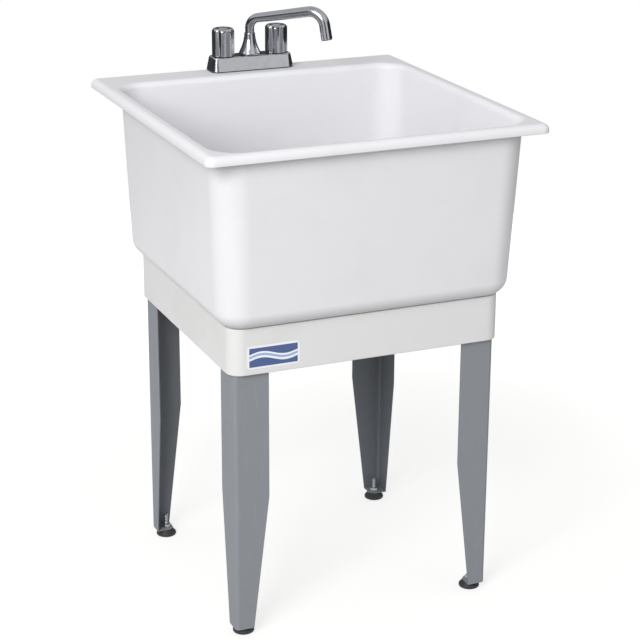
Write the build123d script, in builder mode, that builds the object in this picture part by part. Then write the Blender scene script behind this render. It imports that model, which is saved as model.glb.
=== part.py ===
from build123d import *

import math
import os

# Utility laundry sink: a moulded tub with a rolled rim, seated on a base skirt that
# stands on four folded steel legs with levelling feet, and a two-handle centreset
# faucet on the rear ledge. Millimetres, +Z up, the front faces -Y, +X is to the right,
# and the origin lies on the floor below the middle of the rim.

os.makedirs("parts", exist_ok=True)

# ---------------------------------------------------------------- driving dimensions

# rim
rim_width = 584.0
rim_depth = 608.0
rim_thickness = 4.0
rim_corner_radius = 14.0
rim_edge_radius = 3.0
lip_height = 15.0
lip_thickness = 3.5
basin_edge_radius = 13.0

# tub walls, given at the rim and leaning in towards the shoulder
tub_wall = 4.0
side_overhang = 23.0
front_overhang = 19.0
ledge_depth = 71.5
side_lean = 13.0
front_lean = 15.0
rear_lean = 5.5
rim_wall_radius = 50.0
shoulder_wall_radius = 46.0
wall_height = 296.0
shoulder_radius = 28.0

# lower bowl, inside the skirt
bowl_depth = 54.0
floor_thickness = 8.0
bowl_lean = 3.0
bowl_corner_radius = 34.0
bowl_edge_radius = 18.0
bowl_mouth_radius = 7.0

# base skirt
skirt_bottom = 466.0
skirt_height = 78.0
skirt_side_inset = 16.0
skirt_front_inset = 18.0
skirt_rear_inset = 22.0
skirt_wall = 4.5
skirt_pad = 8.0
skirt_corner_radius = 25.0
skirt_edge_radius = 1.5
skirt_pad_length = 70.0
skirt_recess_radius = 2.0
shelf_thickness = 4.0
shelf_reach = 7.0
bowl_clearance = 2.0

# legs
leg_thickness = 1.6
leg_fold_radius = 7.0
leg_flange = 60.0
leg_foot_flange = 32.0
leg_taper_height = 247.0
leg_foot_height = 12.0
leg_fit = 0.1
leg_tab_clip = 8.0

# leg screws
screw_radius = 2.0
screw_bite = 6.0
screw_head_radius = 4.2
screw_head_height = 2.4
screw_head_round = 1.0
screw_fit = 0.1
screw_hole_spare = 0.5
screw_from_fold = 36.0
screw_above_skirt_edge = 24.0

# levelling feet
foot_offset = 20.0
foot_radius = 18.0
foot_rim_height = 5.0
foot_hub_radius = 11.0
foot_edge_radius = 1.0
foot_socket_depth = 8.0
foot_gap = 0.3
stud_radius = 4.0
stud_top = 40.0
stud_chamfer = 0.5
stud_fit = 0.05
tab_hole_radius = 4.5
foot_nut_flats = 13.0
foot_nut_height = 6.5

# skirt decal
decal_width = 90.0
decal_height = 38.0
decal_corner_radius = 6.0
decal_thickness = 0.3
decal_from_side = 73.0
decal_above_skirt_edge = 29.0

# drain
drain_hole_radius = 26.0
drain_thread_radius = 25.4
drain_bore_radius = 21.0
drain_flange_radius = 35.0
drain_flange_thickness = 3.0
drain_flange_round = 1.0
drain_shank_length = 42.0
drain_dish_radius = 150.0
drain_dish_depth = 4.0
drain_seat_radius = 40.0
drain_bar_width = 4.0
drain_bar_height = 4.0
drain_bar_depth = 14.0
drain_bar_let_in = 1.0
drain_mouth_chamfer = 1.2
drain_gasket_radius = 34.0
drain_gasket_thickness = 3.5
drain_locknut_flats = 66.0
drain_locknut_height = 11.0
tail_radius = 19.05
tail_wall = 1.2
tail_length = 56.0
tail_flange_radius = 23.0
tail_flange_thickness = 1.5
tail_collar_thickness = 0.2
tail_collar_drop = 6.0
tail_washer_thickness = 2.0
tail_nut_radius = 31.0
tail_nut_height = 18.0
tail_nut_floor = 3.0
tail_nut_grips = 12
tail_nut_grip_radius = 3.0
tail_nut_grip_depth = 1.2
tail_nut_fit = 0.4
thread_fit = 0.1
stopper_gap = 0.3
stopper_plug_radius = 19.5
stopper_plug_depth = 9.0
stopper_plug_chamfer = 2.5
stopper_flange_radius = 27.0
stopper_flange_thickness = 3.0
stopper_flange_round = 1.0
stopper_knob_radius = 6.0
stopper_knob_height = 13.0
stopper_neck_radius = 3.0
stopper_neck_height = 4.0
stopper_knob_round = 2.0

# faucet cover and what lies under it
valve_spacing = 101.6
faucet_from_rear = 27.0
cover_length = 157.0
cover_width = 46.0
cover_height = 24.5
cover_wall = 2.0
cover_corner_radius = 13.0
cover_slope = 5.0
cover_edge_radius = 2.0
cover_hole_fit = 0.3
deck_gasket_thickness = 1.5
deck_gasket_margin = 1.0
deck_hole_radius = 16.0
shank_radius = 10.3
shank_drop = 50.0
shank_neck_radius = 9.8
shank_neck_height = 1.5
supply_bore_radius = 6.5
waterway_height = 14.0
waterway_width = 20.0
waterway_bore_radius = 4.0
valve_boss_radius = 12.0
valve_boss_gap = 1.0
hub_boss_radius = 12.0
hub_boss_rise = 10.0
spout_socket_radius = 9.0
shank_washer_radius = 19.0
shank_washer_thickness = 2.0
shank_nut_flats = 32.0
shank_nut_height = 8.0

# cartridges, bonnet nuts and handles
cartridge_radius = 8.0
cartridge_fit = 0.05
cartridge_depth = 17.0
cartridge_rise = 4.0
stem_radius = 3.5
stem_fit = 0.05
stem_depth = 10.0
bonnet_neck_radius = 11.0
bonnet_flats = 24.0
bonnet_flange_height = 3.0
handle_radius = 20.0
handle_height = 49.0
handle_gap = 1.0
handle_top_round = 6.0
handle_wall = 4.0
handle_skirt_depth = 20.0
handle_web = 2.6
handle_flutes = 8
flute_radius = 8.0
flute_depth = 2.2
handle_bore_fit = 0.05
handle_screw_radius = 1.8
handle_screw_length = 9.0
handle_screw_head_radius = 3.4
handle_screw_head_height = 2.2
index_radius = 8.5
index_depth = 4.0
index_round = 1.0
index_fit = 0.1

# spout and its hub nut
spout_turn = -45.0
spout_reach = 148.5
spout_run_height = 89.0
spout_run_rise = 25.5
spout_tip_height = 64.0
spout_tip_kick = 8.9
spout_riser_bend = 20.0
spout_tip_bend = 27.0
spout_root_radius = 7.5
spout_tip_radius = 10.0
spout_wall = 1.4
journal_fit = 0.05
journal_play = 0.3
journal_below_cover = 16.0
oring_thickness = 1.8
oring_groove_fit = 0.1
oring_pitch = 7.0
oring_count = 2
hub_nut_radius = 19.5
hub_nut_top_radius = 9.5
hub_nut_height = 38.0
hub_nut_gap = 0.3
hub_nut_skirt = 3.0
hub_nut_lip = 1.0
hub_nut_sagitta = 2.0
hub_nut_spout_gap = 0.8
aerator_depth = 10.0
aerator_flange_radius = 9.6
aerator_proud = 2.0
aerator_wall = 1.2
aerator_step = 0.8
aerator_fit = 0.2
screen_thickness = 0.8
screen_hole_radius = 0.7
screen_pitch = 2.4
screen_depth = 3.0
screen_rings = 3

# ---------------------------------------------------------------- derived sizes

# levels, stacked up from the floor
shelf_underside = skirt_bottom + skirt_height - shelf_thickness
shoulder_height = skirt_bottom + skirt_height
floor_top = shoulder_height - bowl_depth
floor_underside = floor_top - floor_thickness
rim_height = shoulder_height + wall_height
rim_underside = rim_height - rim_thickness
rim_root_radius = basin_edge_radius - tub_wall

rim_half_width = rim_width / 2
rim_front = -rim_depth / 2
rim_rear = rim_depth / 2

# tub outside, at the rim's underside and at the flat of the shoulder
rim_wall_half = rim_half_width - side_overhang
rim_wall_front = rim_front + front_overhang
rim_wall_rear = rim_rear - ledge_depth
shoulder_half = rim_wall_half - side_lean
shoulder_front = rim_wall_front + front_lean
shoulder_rear = rim_wall_rear - rear_lean

# skirt outside
skirt_half = shoulder_half - skirt_side_inset
skirt_front = shoulder_front + skirt_front_inset
skirt_rear = shoulder_rear - skirt_rear_inset

# lower bowl outside, at the shoulder
bowl_inset = skirt_pad + shelf_reach + bowl_clearance
bowl_half = skirt_half - bowl_inset
bowl_front = skirt_front + bowl_inset
bowl_rear = skirt_rear - bowl_inset

# legs: outer faces
leg_half = skirt_half - skirt_pad - leg_fit
leg_front = skirt_front + skirt_pad + leg_fit
leg_rear = skirt_rear - skirt_pad - leg_fit
leg_corners = {
    "front_left": (-1, -1, -leg_half, leg_front),
    "front_right": (1, -1, leg_half, leg_front),
    "rear_left": (-1, 1, -leg_half, leg_rear),
    "rear_right": (1, 1, leg_half, leg_rear),
}
screw_height = skirt_bottom + screw_above_skirt_edge

# drain
drain_y = (bowl_front + bowl_rear) / 2
drain_seat = floor_top - drain_dish_depth
drain_flange_top = drain_seat + drain_flange_thickness
drain_shank_bottom = drain_seat - drain_shank_length
tail_top = drain_shank_bottom - tail_washer_thickness
stopper_rest = drain_flange_top + stopper_gap

# faucet
faucet_y = rim_rear - faucet_from_rear
valve_x = valve_spacing / 2
cover_bottom = rim_height + deck_gasket_thickness
cover_top = cover_bottom + cover_height
cover_inside_top = cover_top - cover_wall
valve_boss_top = cover_inside_top - valve_boss_gap
shank_bottom = rim_underside - shank_drop
shank_washer_bottom = rim_underside - shank_washer_thickness
shank_nut_bottom = shank_washer_bottom - shank_nut_height
shank_neck_bottom = shank_nut_bottom - shank_neck_height
cartridge_bottom = valve_boss_top - cartridge_depth
bonnet_top = cover_top + bonnet_flange_height
handle_bottom = cover_top + handle_gap
handle_top = handle_bottom + handle_height
stem_bottom = bonnet_top + cartridge_rise - stem_depth
handle_screw_seat = handle_top - index_depth - handle_screw_head_height
stem_top = handle_screw_seat - handle_web
hub_boss_top = cover_top + hub_boss_rise
journal_bottom = cover_top - journal_below_cover
journal_top = hub_boss_top - journal_play
journal_radius = spout_socket_radius - journal_fit

hub_nut_bottom = cover_top + hub_nut_gap
hub_nut_top = hub_nut_bottom + hub_nut_height


# how closely an edge must lie on a surface to be picked there
on_surface = 0.01


# ---------------------------------------------------------------- shared helpers


def box_section(height, half_width, front, rear, radius):
    """Rounded rectangle at a height, from its half width and its front and rear edges."""
    with BuildSketch(Plane.XY.offset(height)) as section:
        with Locations((0, (front + rear) / 2)):
            RectangleRounded(2 * half_width, rear - front, radius)
    return section.sketch


def round_section(height, radius, x=0.0, y=0.0):
    """Circle at a height, centred on x and y."""
    with BuildSketch(Plane.XY.offset(height)) as section:
        with Locations((x, y)):
            Circle(radius)
    return section.sketch


def hex_section(height, flats, x=0.0, y=0.0):
    """Hexagon at a height, measured across its flats."""
    with BuildSketch(Plane.XY.offset(height)) as section:
        with Locations((x, y)):
            RegularPolygon(flats / 2, 6, major_radius=False)
    return section.sketch


def finish(piece, name):
    """Labels a finished piece and writes it to its own file."""
    piece.part.label = name
    export_step(piece.part, "parts/" + name + ".step")


# ---------------------------------------------------------------- tub

with BuildPart() as wall_outside:
    loft(
        [
            box_section(
                shoulder_height,
                shoulder_half,
                shoulder_front,
                shoulder_rear,
                shoulder_wall_radius,
            ),
            box_section(
                rim_underside,
                rim_wall_half,
                rim_wall_front,
                rim_wall_rear,
                rim_wall_radius,
            ),
        ]
    )
    fillet(wall_outside.faces().sort_by(Axis.Z)[0].edges(), shoulder_radius)

with BuildPart() as wall_inside:
    loft(
        [
            box_section(
                shoulder_height + tub_wall,
                shoulder_half - tub_wall,
                shoulder_front + tub_wall,
                shoulder_rear - tub_wall,
                shoulder_wall_radius - tub_wall,
            ),
            box_section(
                rim_height,
                rim_wall_half - tub_wall,
                rim_wall_front + tub_wall,
                rim_wall_rear - tub_wall,
                rim_wall_radius - tub_wall,
            ),
        ]
    )
    fillet(wall_inside.faces().sort_by(Axis.Z)[0].edges(), shoulder_radius - tub_wall)

with BuildPart() as bowl_outside:
    loft(
        [
            box_section(
                floor_underside,
                bowl_half - bowl_lean,
                bowl_front + bowl_lean,
                bowl_rear - bowl_lean,
                bowl_corner_radius,
            ),
            box_section(
                shoulder_height + tub_wall / 2,
                bowl_half,
                bowl_front,
                bowl_rear,
                bowl_corner_radius,
            ),
        ]
    )
    fillet(bowl_outside.faces().sort_by(Axis.Z)[0].edges(), bowl_edge_radius)

with BuildPart() as bowl_inside:
    loft(
        [
            box_section(
                floor_top,
                bowl_half - bowl_lean - tub_wall,
                bowl_front + bowl_lean + tub_wall,
                bowl_rear - bowl_lean - tub_wall,
                bowl_corner_radius - tub_wall,
            ),
            box_section(
                shoulder_height + tub_wall,
                bowl_half - tub_wall,
                bowl_front + tub_wall,
                bowl_rear - tub_wall,
                bowl_corner_radius - tub_wall,
            ),
        ]
    )
    fillet(bowl_inside.faces().sort_by(Axis.Z)[0].edges(), bowl_edge_radius - tub_wall)

with BuildPart() as basin:
    add(wall_inside.part)
    add(bowl_inside.part)
    bowl_mouth = basin.edges().filter_by(
        lambda edge: abs(edge.center().Z - shoulder_height - tub_wall) < on_surface
        and abs(edge.center().X) < bowl_half - tub_wall + on_surface
        and abs(edge.center().Y - drain_y) < (bowl_rear - bowl_front) / 2 - tub_wall + on_surface
    )
    fillet(bowl_mouth, bowl_mouth_radius)
    # floor falls towards the drain
    with Locations((0, drain_y, floor_top - drain_dish_depth / 2)):
        Cone(drain_seat_radius, drain_dish_radius, drain_dish_depth)

with BuildPart() as tub:
    # rim plate with its turned-down lip
    extrude(
        box_section(rim_height - lip_height, rim_half_width, rim_front, rim_rear, rim_corner_radius),
        amount=lip_height,
    )
    fillet(tub.faces().sort_by(Axis.Z)[-1].edges(), rim_edge_radius)
    extrude(
        box_section(
            rim_height - lip_height,
            rim_half_width - lip_thickness,
            rim_front + lip_thickness,
            rim_rear - lip_thickness,
            rim_corner_radius - lip_thickness,
        ),
        amount=lip_height - rim_thickness,
        mode=Mode.SUBTRACT,
    )
    add(wall_outside.part)
    # the wall keeps its thickness round the rolled edge
    rim_root = tub.edges().filter_by(
        lambda edge: abs(edge.center().Z - rim_underside) < on_surface
        and abs(edge.center().X) < rim_wall_half + on_surface
        and rim_wall_front - on_surface < edge.center().Y < rim_wall_rear + on_surface
    )
    fillet(rim_root, rim_root_radius)
    add(bowl_outside.part)
    add(basin.part, mode=Mode.SUBTRACT)
    rim_top = tub.faces().filter_by(Axis.Z).sort_by(Axis.Z)[-1]
    fillet(rim_top.inner_wires()[0].edges(), basin_edge_radius)
    extrude(
        round_section(floor_underside, drain_hole_radius, 0, drain_y),
        amount=floor_thickness,
        mode=Mode.SUBTRACT,
    )
    for side in (-1, 1):
        extrude(
            round_section(rim_underside, deck_hole_radius, side * valve_x, faucet_y),
            amount=rim_thickness,
            mode=Mode.SUBTRACT,
        )
finish(tub, "tub")


# ---------------------------------------------------------------- leg screws

screw_planes = {}
for leg_name, (side, end, corner_x, corner_y) in leg_corners.items():
    # local +Z of each plane drives the screw from the flange's inner face into the skirt
    screw_planes[leg_name] = [
        Plane(
            origin=(corner_x - side * screw_from_fold, corner_y - end * leg_thickness, screw_height),
            z_dir=(0, end, 0),
        ),
        Plane(
            origin=(corner_x - side * leg_thickness, corner_y - end * screw_from_fold, screw_height),
            z_dir=(side, 0, 0),
        ),
    ]
all_screw_planes = [plane for pair in screw_planes.values() for plane in pair]
screw_shank = leg_thickness + screw_bite

with BuildPart() as leg_screw:
    Cylinder(screw_radius, screw_shank, align=(Align.CENTER, Align.CENTER, Align.MIN))
    Cylinder(
        screw_head_radius,
        screw_head_height,
        align=(Align.CENTER, Align.CENTER, Align.MAX),
    )
    fillet(leg_screw.faces().sort_by(Axis.Z)[0].edges(), screw_head_round)

with BuildPart() as leg_screws:
    with Locations(*all_screw_planes):
        add(leg_screw.part)
finish(leg_screws, "leg_screws")


# ---------------------------------------------------------------- base skirt

with BuildPart() as base_skirt:
    extrude(
        box_section(skirt_bottom, skirt_half, skirt_front, skirt_rear, skirt_corner_radius),
        amount=skirt_height,
    )
    fillet(base_skirt.faces().filter_by(Axis.Z).edges(), skirt_edge_radius)
    extrude(
        box_section(
            skirt_bottom,
            skirt_half - skirt_pad,
            skirt_front + skirt_pad,
            skirt_rear - skirt_pad,
            leg_fold_radius,
        ),
        amount=skirt_height - shelf_thickness,
        mode=Mode.SUBTRACT,
    )
    # the wall is thinner between the four corner pads
    extrude(
        box_section(
            skirt_bottom,
            skirt_half - skirt_pad_length,
            skirt_front + skirt_wall,
            skirt_rear - skirt_wall,
            skirt_recess_radius,
        ),
        amount=skirt_height - shelf_thickness,
        mode=Mode.SUBTRACT,
    )
    extrude(
        box_section(
            skirt_bottom,
            skirt_half - skirt_wall,
            skirt_front + skirt_pad_length,
            skirt_rear - skirt_pad_length,
            skirt_recess_radius,
        ),
        amount=skirt_height - shelf_thickness,
        mode=Mode.SUBTRACT,
    )
    # the shelf that carries the tub is open for the bowl
    extrude(
        box_section(
            shelf_underside,
            bowl_half + bowl_clearance,
            bowl_front - bowl_clearance,
            bowl_rear + bowl_clearance,
            bowl_corner_radius + bowl_clearance,
        ),
        amount=shelf_thickness,
        mode=Mode.SUBTRACT,
    )
    with Locations(*all_screw_planes):
        Cylinder(
            screw_radius + screw_fit,
            screw_shank + screw_hole_spare,
            align=(Align.CENTER, Align.CENTER, Align.MIN),
            mode=Mode.SUBTRACT,
        )
finish(base_skirt, "base_skirt")


# ---------------------------------------------------------------- legs


def build_leg(leg_name, side, end, corner_x, corner_y):
    """Sheet steel angle, folded at the outer corner, with tapering flanges and a foot tab."""

    def inward(along_x, along_y):
        """Point measured inwards from the leg's outer corner."""
        return (corner_x - side * along_x, corner_y - end * along_y)

    with BuildPart() as leg:
        with BuildSketch(Plane.XY.offset(leg_foot_height)) as angle:
            with BuildLine():
                Polyline(
                    inward(leg_flange, 0),
                    inward(0, 0),
                    inward(0, leg_flange),
                    inward(leg_thickness, leg_flange),
                    inward(leg_thickness, leg_thickness),
                    inward(leg_flange, leg_thickness),
                    close=True,
                )
            make_face()
            fillet(angle.vertices().sort_by_distance((*inward(0, 0), 0))[0], leg_fold_radius)
            inner_corner = (*inward(leg_thickness, leg_thickness), 0)
            fillet(
                angle.vertices().sort_by_distance(inner_corner)[0],
                leg_fold_radius - leg_thickness,
            )
        extrude(amount=shelf_underside - leg_foot_height)
        # both flanges narrow towards the foot
        edge_x, edge_y = inward(leg_flange, leg_flange)
        far_x, far_y = inward(2 * leg_flange, 2 * leg_flange)
        foot_x, foot_y = inward(leg_foot_flange, leg_foot_flange)
        for plane, edge, far, foot in (
            (Plane.XZ, edge_x, far_x, foot_x),
            (Plane.YZ, edge_y, far_y, foot_y),
        ):
            with BuildSketch(plane) as taper:
                with BuildLine():
                    Polyline(
                        (edge, leg_taper_height),
                        (far, leg_taper_height),
                        (far, leg_foot_height),
                        (foot, leg_foot_height),
                        close=True,
                    )
                make_face()
            extrude(amount=rim_depth, both=True, mode=Mode.SUBTRACT)
        # foot tab, bent in between the flanges
        half_sheet = leg_thickness / 2
        with BuildSketch(Plane.XY.offset(leg_foot_height)) as tab:
            with BuildLine():
                Polyline(
                    inward(half_sheet, half_sheet),
                    inward(leg_foot_flange, half_sheet),
                    inward(leg_foot_flange, leg_foot_flange),
                    inward(half_sheet, leg_foot_flange),
                    close=True,
                )
            make_face()
            fold_corner = (*inward(half_sheet, half_sheet), 0)
            fillet(tab.vertices().sort_by_distance(fold_corner)[0], leg_fold_radius - half_sheet)
            free_corner = (*inward(leg_foot_flange, leg_foot_flange), 0)
            chamfer(tab.vertices().sort_by_distance(free_corner)[0], leg_tab_clip)
            with Locations(inward(foot_offset, foot_offset)):
                Circle(tab_hole_radius, mode=Mode.SUBTRACT)
        extrude(amount=leg_thickness)
        with Locations(*screw_planes[leg_name]):
            Cylinder(
                screw_radius + screw_fit,
                2 * screw_shank,
                mode=Mode.SUBTRACT,
            )
    finish(leg, "leg_" + leg_name)


for leg_name, (side, end, corner_x, corner_y) in leg_corners.items():
    build_leg(leg_name, side, end, corner_x, corner_y)


# ---------------------------------------------------------------- levelling feet

foot_places = {
    leg_name: (corner_x - side * foot_offset, corner_y - end * foot_offset)
    for leg_name, (side, end, corner_x, corner_y) in leg_corners.items()
}
foot_top = leg_foot_height - foot_gap
foot_socket_bottom = foot_top - foot_socket_depth


def build_foot(leg_name, x, y):
    """Moulded glide pad and the threaded stud held in it."""
    with BuildPart() as pad:
        extrude(round_section(0, foot_radius, x, y), amount=foot_rim_height)
        loft(
            [
                round_section(foot_rim_height, foot_radius, x, y),
                round_section(foot_top, foot_hub_radius, x, y),
            ]
        )
        fillet(pad.faces().sort_by(Axis.Z)[0].edges(), foot_edge_radius)
        extrude(
            round_section(foot_socket_bottom, stud_radius, x, y),
            amount=foot_socket_depth,
            mode=Mode.SUBTRACT,
        )
    finish(pad, "foot_pad_" + leg_name)
    with BuildPart() as stud:
        extrude(
            round_section(foot_socket_bottom, stud_radius, x, y),
            amount=stud_top - foot_socket_bottom,
        )
        chamfer(stud.faces().sort_by(Axis.Z)[-1].edges(), stud_chamfer)
    finish(stud, "foot_stud_" + leg_name)


for leg_name, (x, y) in foot_places.items():
    build_foot(leg_name, x, y)

tab_top = leg_foot_height + leg_thickness
with BuildPart() as foot_nuts:
    for x, y in foot_places.values():
        extrude(hex_section(tab_top, foot_nut_flats, x, y), amount=foot_nut_height)
        extrude(
            round_section(tab_top, stud_radius + stud_fit, x, y),
            amount=foot_nut_height,
            mode=Mode.SUBTRACT,
        )
finish(foot_nuts, "foot_nuts")


# ---------------------------------------------------------------- skirt decal

with BuildPart() as skirt_decal:
    with BuildSketch(Plane.XZ.offset(-skirt_front)) as decal_face:
        with Locations((-skirt_half + decal_from_side, skirt_bottom + decal_above_skirt_edge)):
            RectangleRounded(decal_width, decal_height, decal_corner_radius)
    extrude(amount=decal_thickness)
finish(skirt_decal, "skirt_decal")


# ---------------------------------------------------------------- drain

with BuildPart() as drain_strainer:
    extrude(
        round_section(drain_shank_bottom, drain_thread_radius, 0, drain_y),
        amount=drain_shank_length,
    )
    extrude(
        round_section(drain_seat, drain_flange_radius, 0, drain_y),
        amount=drain_flange_thickness,
    )
    fillet(drain_strainer.faces().sort_by(Axis.Z)[-1].edges(), drain_flange_round)
    extrude(
        round_section(drain_shank_bottom, drain_bore_radius, 0, drain_y),
        amount=drain_shank_length + drain_flange_thickness,
        mode=Mode.SUBTRACT,
    )
    mouth = drain_strainer.faces().filter_by(Axis.Z).sort_by(Axis.Z)[-1].inner_wires()[0]
    chamfer(mouth.edges(), drain_mouth_chamfer)
    # cross bars, let into the bore's wall
    with Locations((0, drain_y, drain_seat - drain_bar_depth)):
        for turn in (0, 90):
            Box(
                2 * (drain_bore_radius + drain_bar_let_in),
                drain_bar_width,
                drain_bar_height,
                rotation=(0, 0, turn),
                align=(Align.CENTER, Align.CENTER, Align.MAX),
            )
finish(drain_strainer, "drain_strainer")

gasket_bottom = floor_underside - drain_gasket_thickness
with BuildPart() as drain_gasket:
    extrude(
        round_section(gasket_bottom, drain_gasket_radius, 0, drain_y),
        amount=drain_gasket_thickness,
    )
    extrude(
        round_section(gasket_bottom, drain_thread_radius + thread_fit, 0, drain_y),
        amount=drain_gasket_thickness,
        mode=Mode.SUBTRACT,
    )
finish(drain_gasket, "drain_gasket")

locknut_bottom = gasket_bottom - drain_locknut_height
with BuildPart() as drain_locknut:
    extrude(
        hex_section(locknut_bottom, drain_locknut_flats, 0, drain_y),
        amount=drain_locknut_height,
    )
    extrude(
        round_section(locknut_bottom, drain_thread_radius + thread_fit, 0, drain_y),
        amount=drain_locknut_height,
        mode=Mode.SUBTRACT,
    )
finish(drain_locknut, "drain_locknut")

with BuildPart() as tailpiece_washer:
    extrude(
        round_section(tail_top, tail_flange_radius, 0, drain_y),
        amount=tail_washer_thickness,
    )
    extrude(
        round_section(tail_top, tail_radius, 0, drain_y),
        amount=tail_washer_thickness,
        mode=Mode.SUBTRACT,
    )
finish(tailpiece_washer, "tailpiece_washer")

tail_bottom = tail_top - tail_length
tail_flange_bottom = tail_top - tail_flange_thickness
with BuildPart() as drain_tailpiece:
    extrude(round_section(tail_bottom, tail_radius, 0, drain_y), amount=tail_length)
    # thicker collar where the nut's floor grips
    extrude(
        round_section(
            tail_flange_bottom - tail_collar_drop,
            tail_radius + tail_collar_thickness,
            0,
            drain_y,
        ),
        amount=tail_collar_drop,
    )
    extrude(
        round_section(tail_flange_bottom, tail_flange_radius, 0, drain_y),
        amount=tail_flange_thickness,
    )
    extrude(
        round_section(tail_bottom, tail_radius - tail_wall, 0, drain_y),
        amount=tail_length,
        mode=Mode.SUBTRACT,
    )
finish(drain_tailpiece, "drain_tailpiece")

tail_nut_bottom = tail_flange_bottom - tail_nut_floor
with BuildPart() as tailpiece_nut:
    extrude(
        round_section(tail_nut_bottom, tail_nut_radius, 0, drain_y),
        amount=tail_nut_height,
    )
    extrude(
        round_section(tail_nut_bottom, tail_radius + tail_nut_fit, 0, drain_y),
        amount=tail_nut_floor,
        mode=Mode.SUBTRACT,
    )
    extrude(
        round_section(tail_flange_bottom, drain_thread_radius + thread_fit, 0, drain_y),
        amount=tail_nut_height - tail_nut_floor,
        mode=Mode.SUBTRACT,
    )
    # finger grips round the outside
    with Locations((0, drain_y, tail_nut_bottom)):
        with PolarLocations(
            tail_nut_radius + tail_nut_grip_radius - tail_nut_grip_depth, tail_nut_grips
        ):
            Cylinder(
                tail_nut_grip_radius,
                tail_nut_height,
                align=(Align.CENTER, Align.CENTER, Align.MIN),
                mode=Mode.SUBTRACT,
            )
finish(tailpiece_nut, "tailpiece_nut")

# rubber stopper, hung from its flange on the strainer's flange
with BuildPart() as stopper:
    extrude(
        round_section(stopper_rest - stopper_plug_depth, stopper_plug_radius, 0, drain_y),
        amount=stopper_plug_depth,
    )
    chamfer(stopper.faces().sort_by(Axis.Z)[0].edges(), stopper_plug_chamfer)
    extrude(
        round_section(stopper_rest, stopper_flange_radius, 0, drain_y),
        amount=stopper_flange_thickness,
    )
    fillet(stopper.faces().sort_by(Axis.Z)[-1].edges(), stopper_flange_round)
    extrude(
        round_section(stopper_rest, stopper_neck_radius, 0, drain_y),
        amount=stopper_flange_thickness,
        mode=Mode.SUBTRACT,
    )
finish(stopper, "stopper")

stopper_top = stopper_rest + stopper_flange_thickness
knob_bottom = stopper_top + stopper_neck_height
with BuildPart() as stopper_pull:
    extrude(
        round_section(stopper_rest, stopper_neck_radius, 0, drain_y),
        amount=stopper_flange_thickness + stopper_neck_height,
    )
    extrude(round_section(knob_bottom, stopper_knob_radius, 0, drain_y), amount=stopper_knob_height)
    knob_ends = stopper_pull.faces().filter_by(Axis.Z).sort_by(Axis.Z)[-1].edges()
    fillet(knob_ends, stopper_knob_round)
finish(stopper_pull, "stopper_pull")


# ---------------------------------------------------------------- faucet cover and waterway


def cover_section(height, inset, corner_radius):
    """Outline of the faucet cover at a height, drawn in by an inset."""
    return box_section(
        height,
        cover_length / 2 - inset,
        faucet_y - cover_width / 2 + inset,
        faucet_y + cover_width / 2 - inset,
        corner_radius,
    )


with BuildPart() as deck_gasket:
    extrude(
        cover_section(rim_height, deck_gasket_margin, cover_corner_radius - deck_gasket_margin),
        amount=deck_gasket_thickness,
    )
    for side in (-1, 1):
        extrude(
            round_section(rim_height, shank_radius + thread_fit, side * valve_x, faucet_y),
            amount=deck_gasket_thickness,
            mode=Mode.SUBTRACT,
        )
finish(deck_gasket, "deck_gasket")

with BuildPart() as faucet_cover:
    loft(
        [
            cover_section(cover_bottom, 0, cover_corner_radius),
            cover_section(cover_top, cover_slope, cover_corner_radius - cover_slope),
        ]
    )
    fillet(faucet_cover.faces().sort_by(Axis.Z)[-1].edges(), cover_edge_radius)
    loft(
        [
            cover_section(cover_bottom, cover_wall, cover_corner_radius - cover_wall),
            cover_section(
                cover_inside_top,
                cover_slope + cover_wall,
                cover_corner_radius - cover_slope - cover_wall,
            ),
        ],
        mode=Mode.SUBTRACT,
    )
    for x, radius in (
        (-valve_x, bonnet_neck_radius),
        (0, hub_boss_radius),
        (valve_x, bonnet_neck_radius),
    ):
        extrude(
            round_section(cover_inside_top, radius + cover_hole_fit, x, faucet_y),
            amount=cover_wall,
            mode=Mode.SUBTRACT,
        )
finish(faucet_cover, "faucet_cover")

with BuildPart() as faucet_body:
    with Locations((0, faucet_y, cover_bottom)):
        Box(
            valve_spacing,
            waterway_width,
            waterway_height,
            align=(Align.CENTER, Align.CENTER, Align.MIN),
        )
    extrude(
        round_section(cover_bottom, hub_boss_radius, 0, faucet_y),
        amount=hub_boss_top - cover_bottom,
    )
    for side in (-1, 1):
        extrude(
            round_section(cover_bottom, valve_boss_radius, side * valve_x, faucet_y),
            amount=valve_boss_top - cover_bottom,
        )
        extrude(
            round_section(shank_bottom, shank_radius, side * valve_x, faucet_y),
            amount=shank_neck_bottom - shank_bottom,
        )
        # thread relief between the supply's end and the lock nut
        extrude(
            round_section(shank_neck_bottom, shank_neck_radius, side * valve_x, faucet_y),
            amount=shank_neck_height,
        )
        extrude(
            round_section(shank_nut_bottom, shank_radius, side * valve_x, faucet_y),
            amount=cover_bottom - shank_nut_bottom,
        )
    # waterway from valve to valve, under the spout's socket
    with BuildSketch(Plane.YZ.offset(-valve_x)) as crossing:
        with Locations((faucet_y, cover_bottom + waterway_height / 2)):
            Circle(waterway_bore_radius)
    extrude(amount=valve_spacing, mode=Mode.SUBTRACT)
    extrude(
        round_section(journal_bottom, spout_socket_radius, 0, faucet_y),
        amount=hub_boss_top - journal_bottom,
        mode=Mode.SUBTRACT,
    )
    for side in (-1, 1):
        extrude(
            round_section(shank_bottom, supply_bore_radius, side * valve_x, faucet_y),
            amount=cartridge_bottom - shank_bottom,
            mode=Mode.SUBTRACT,
        )
        cartridge_bore = cartridge_radius + cartridge_fit
        extrude(
            round_section(cartridge_bottom, cartridge_bore, side * valve_x, faucet_y),
            amount=cartridge_depth,
            mode=Mode.SUBTRACT,
        )
finish(faucet_body, "faucet_body")

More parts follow.
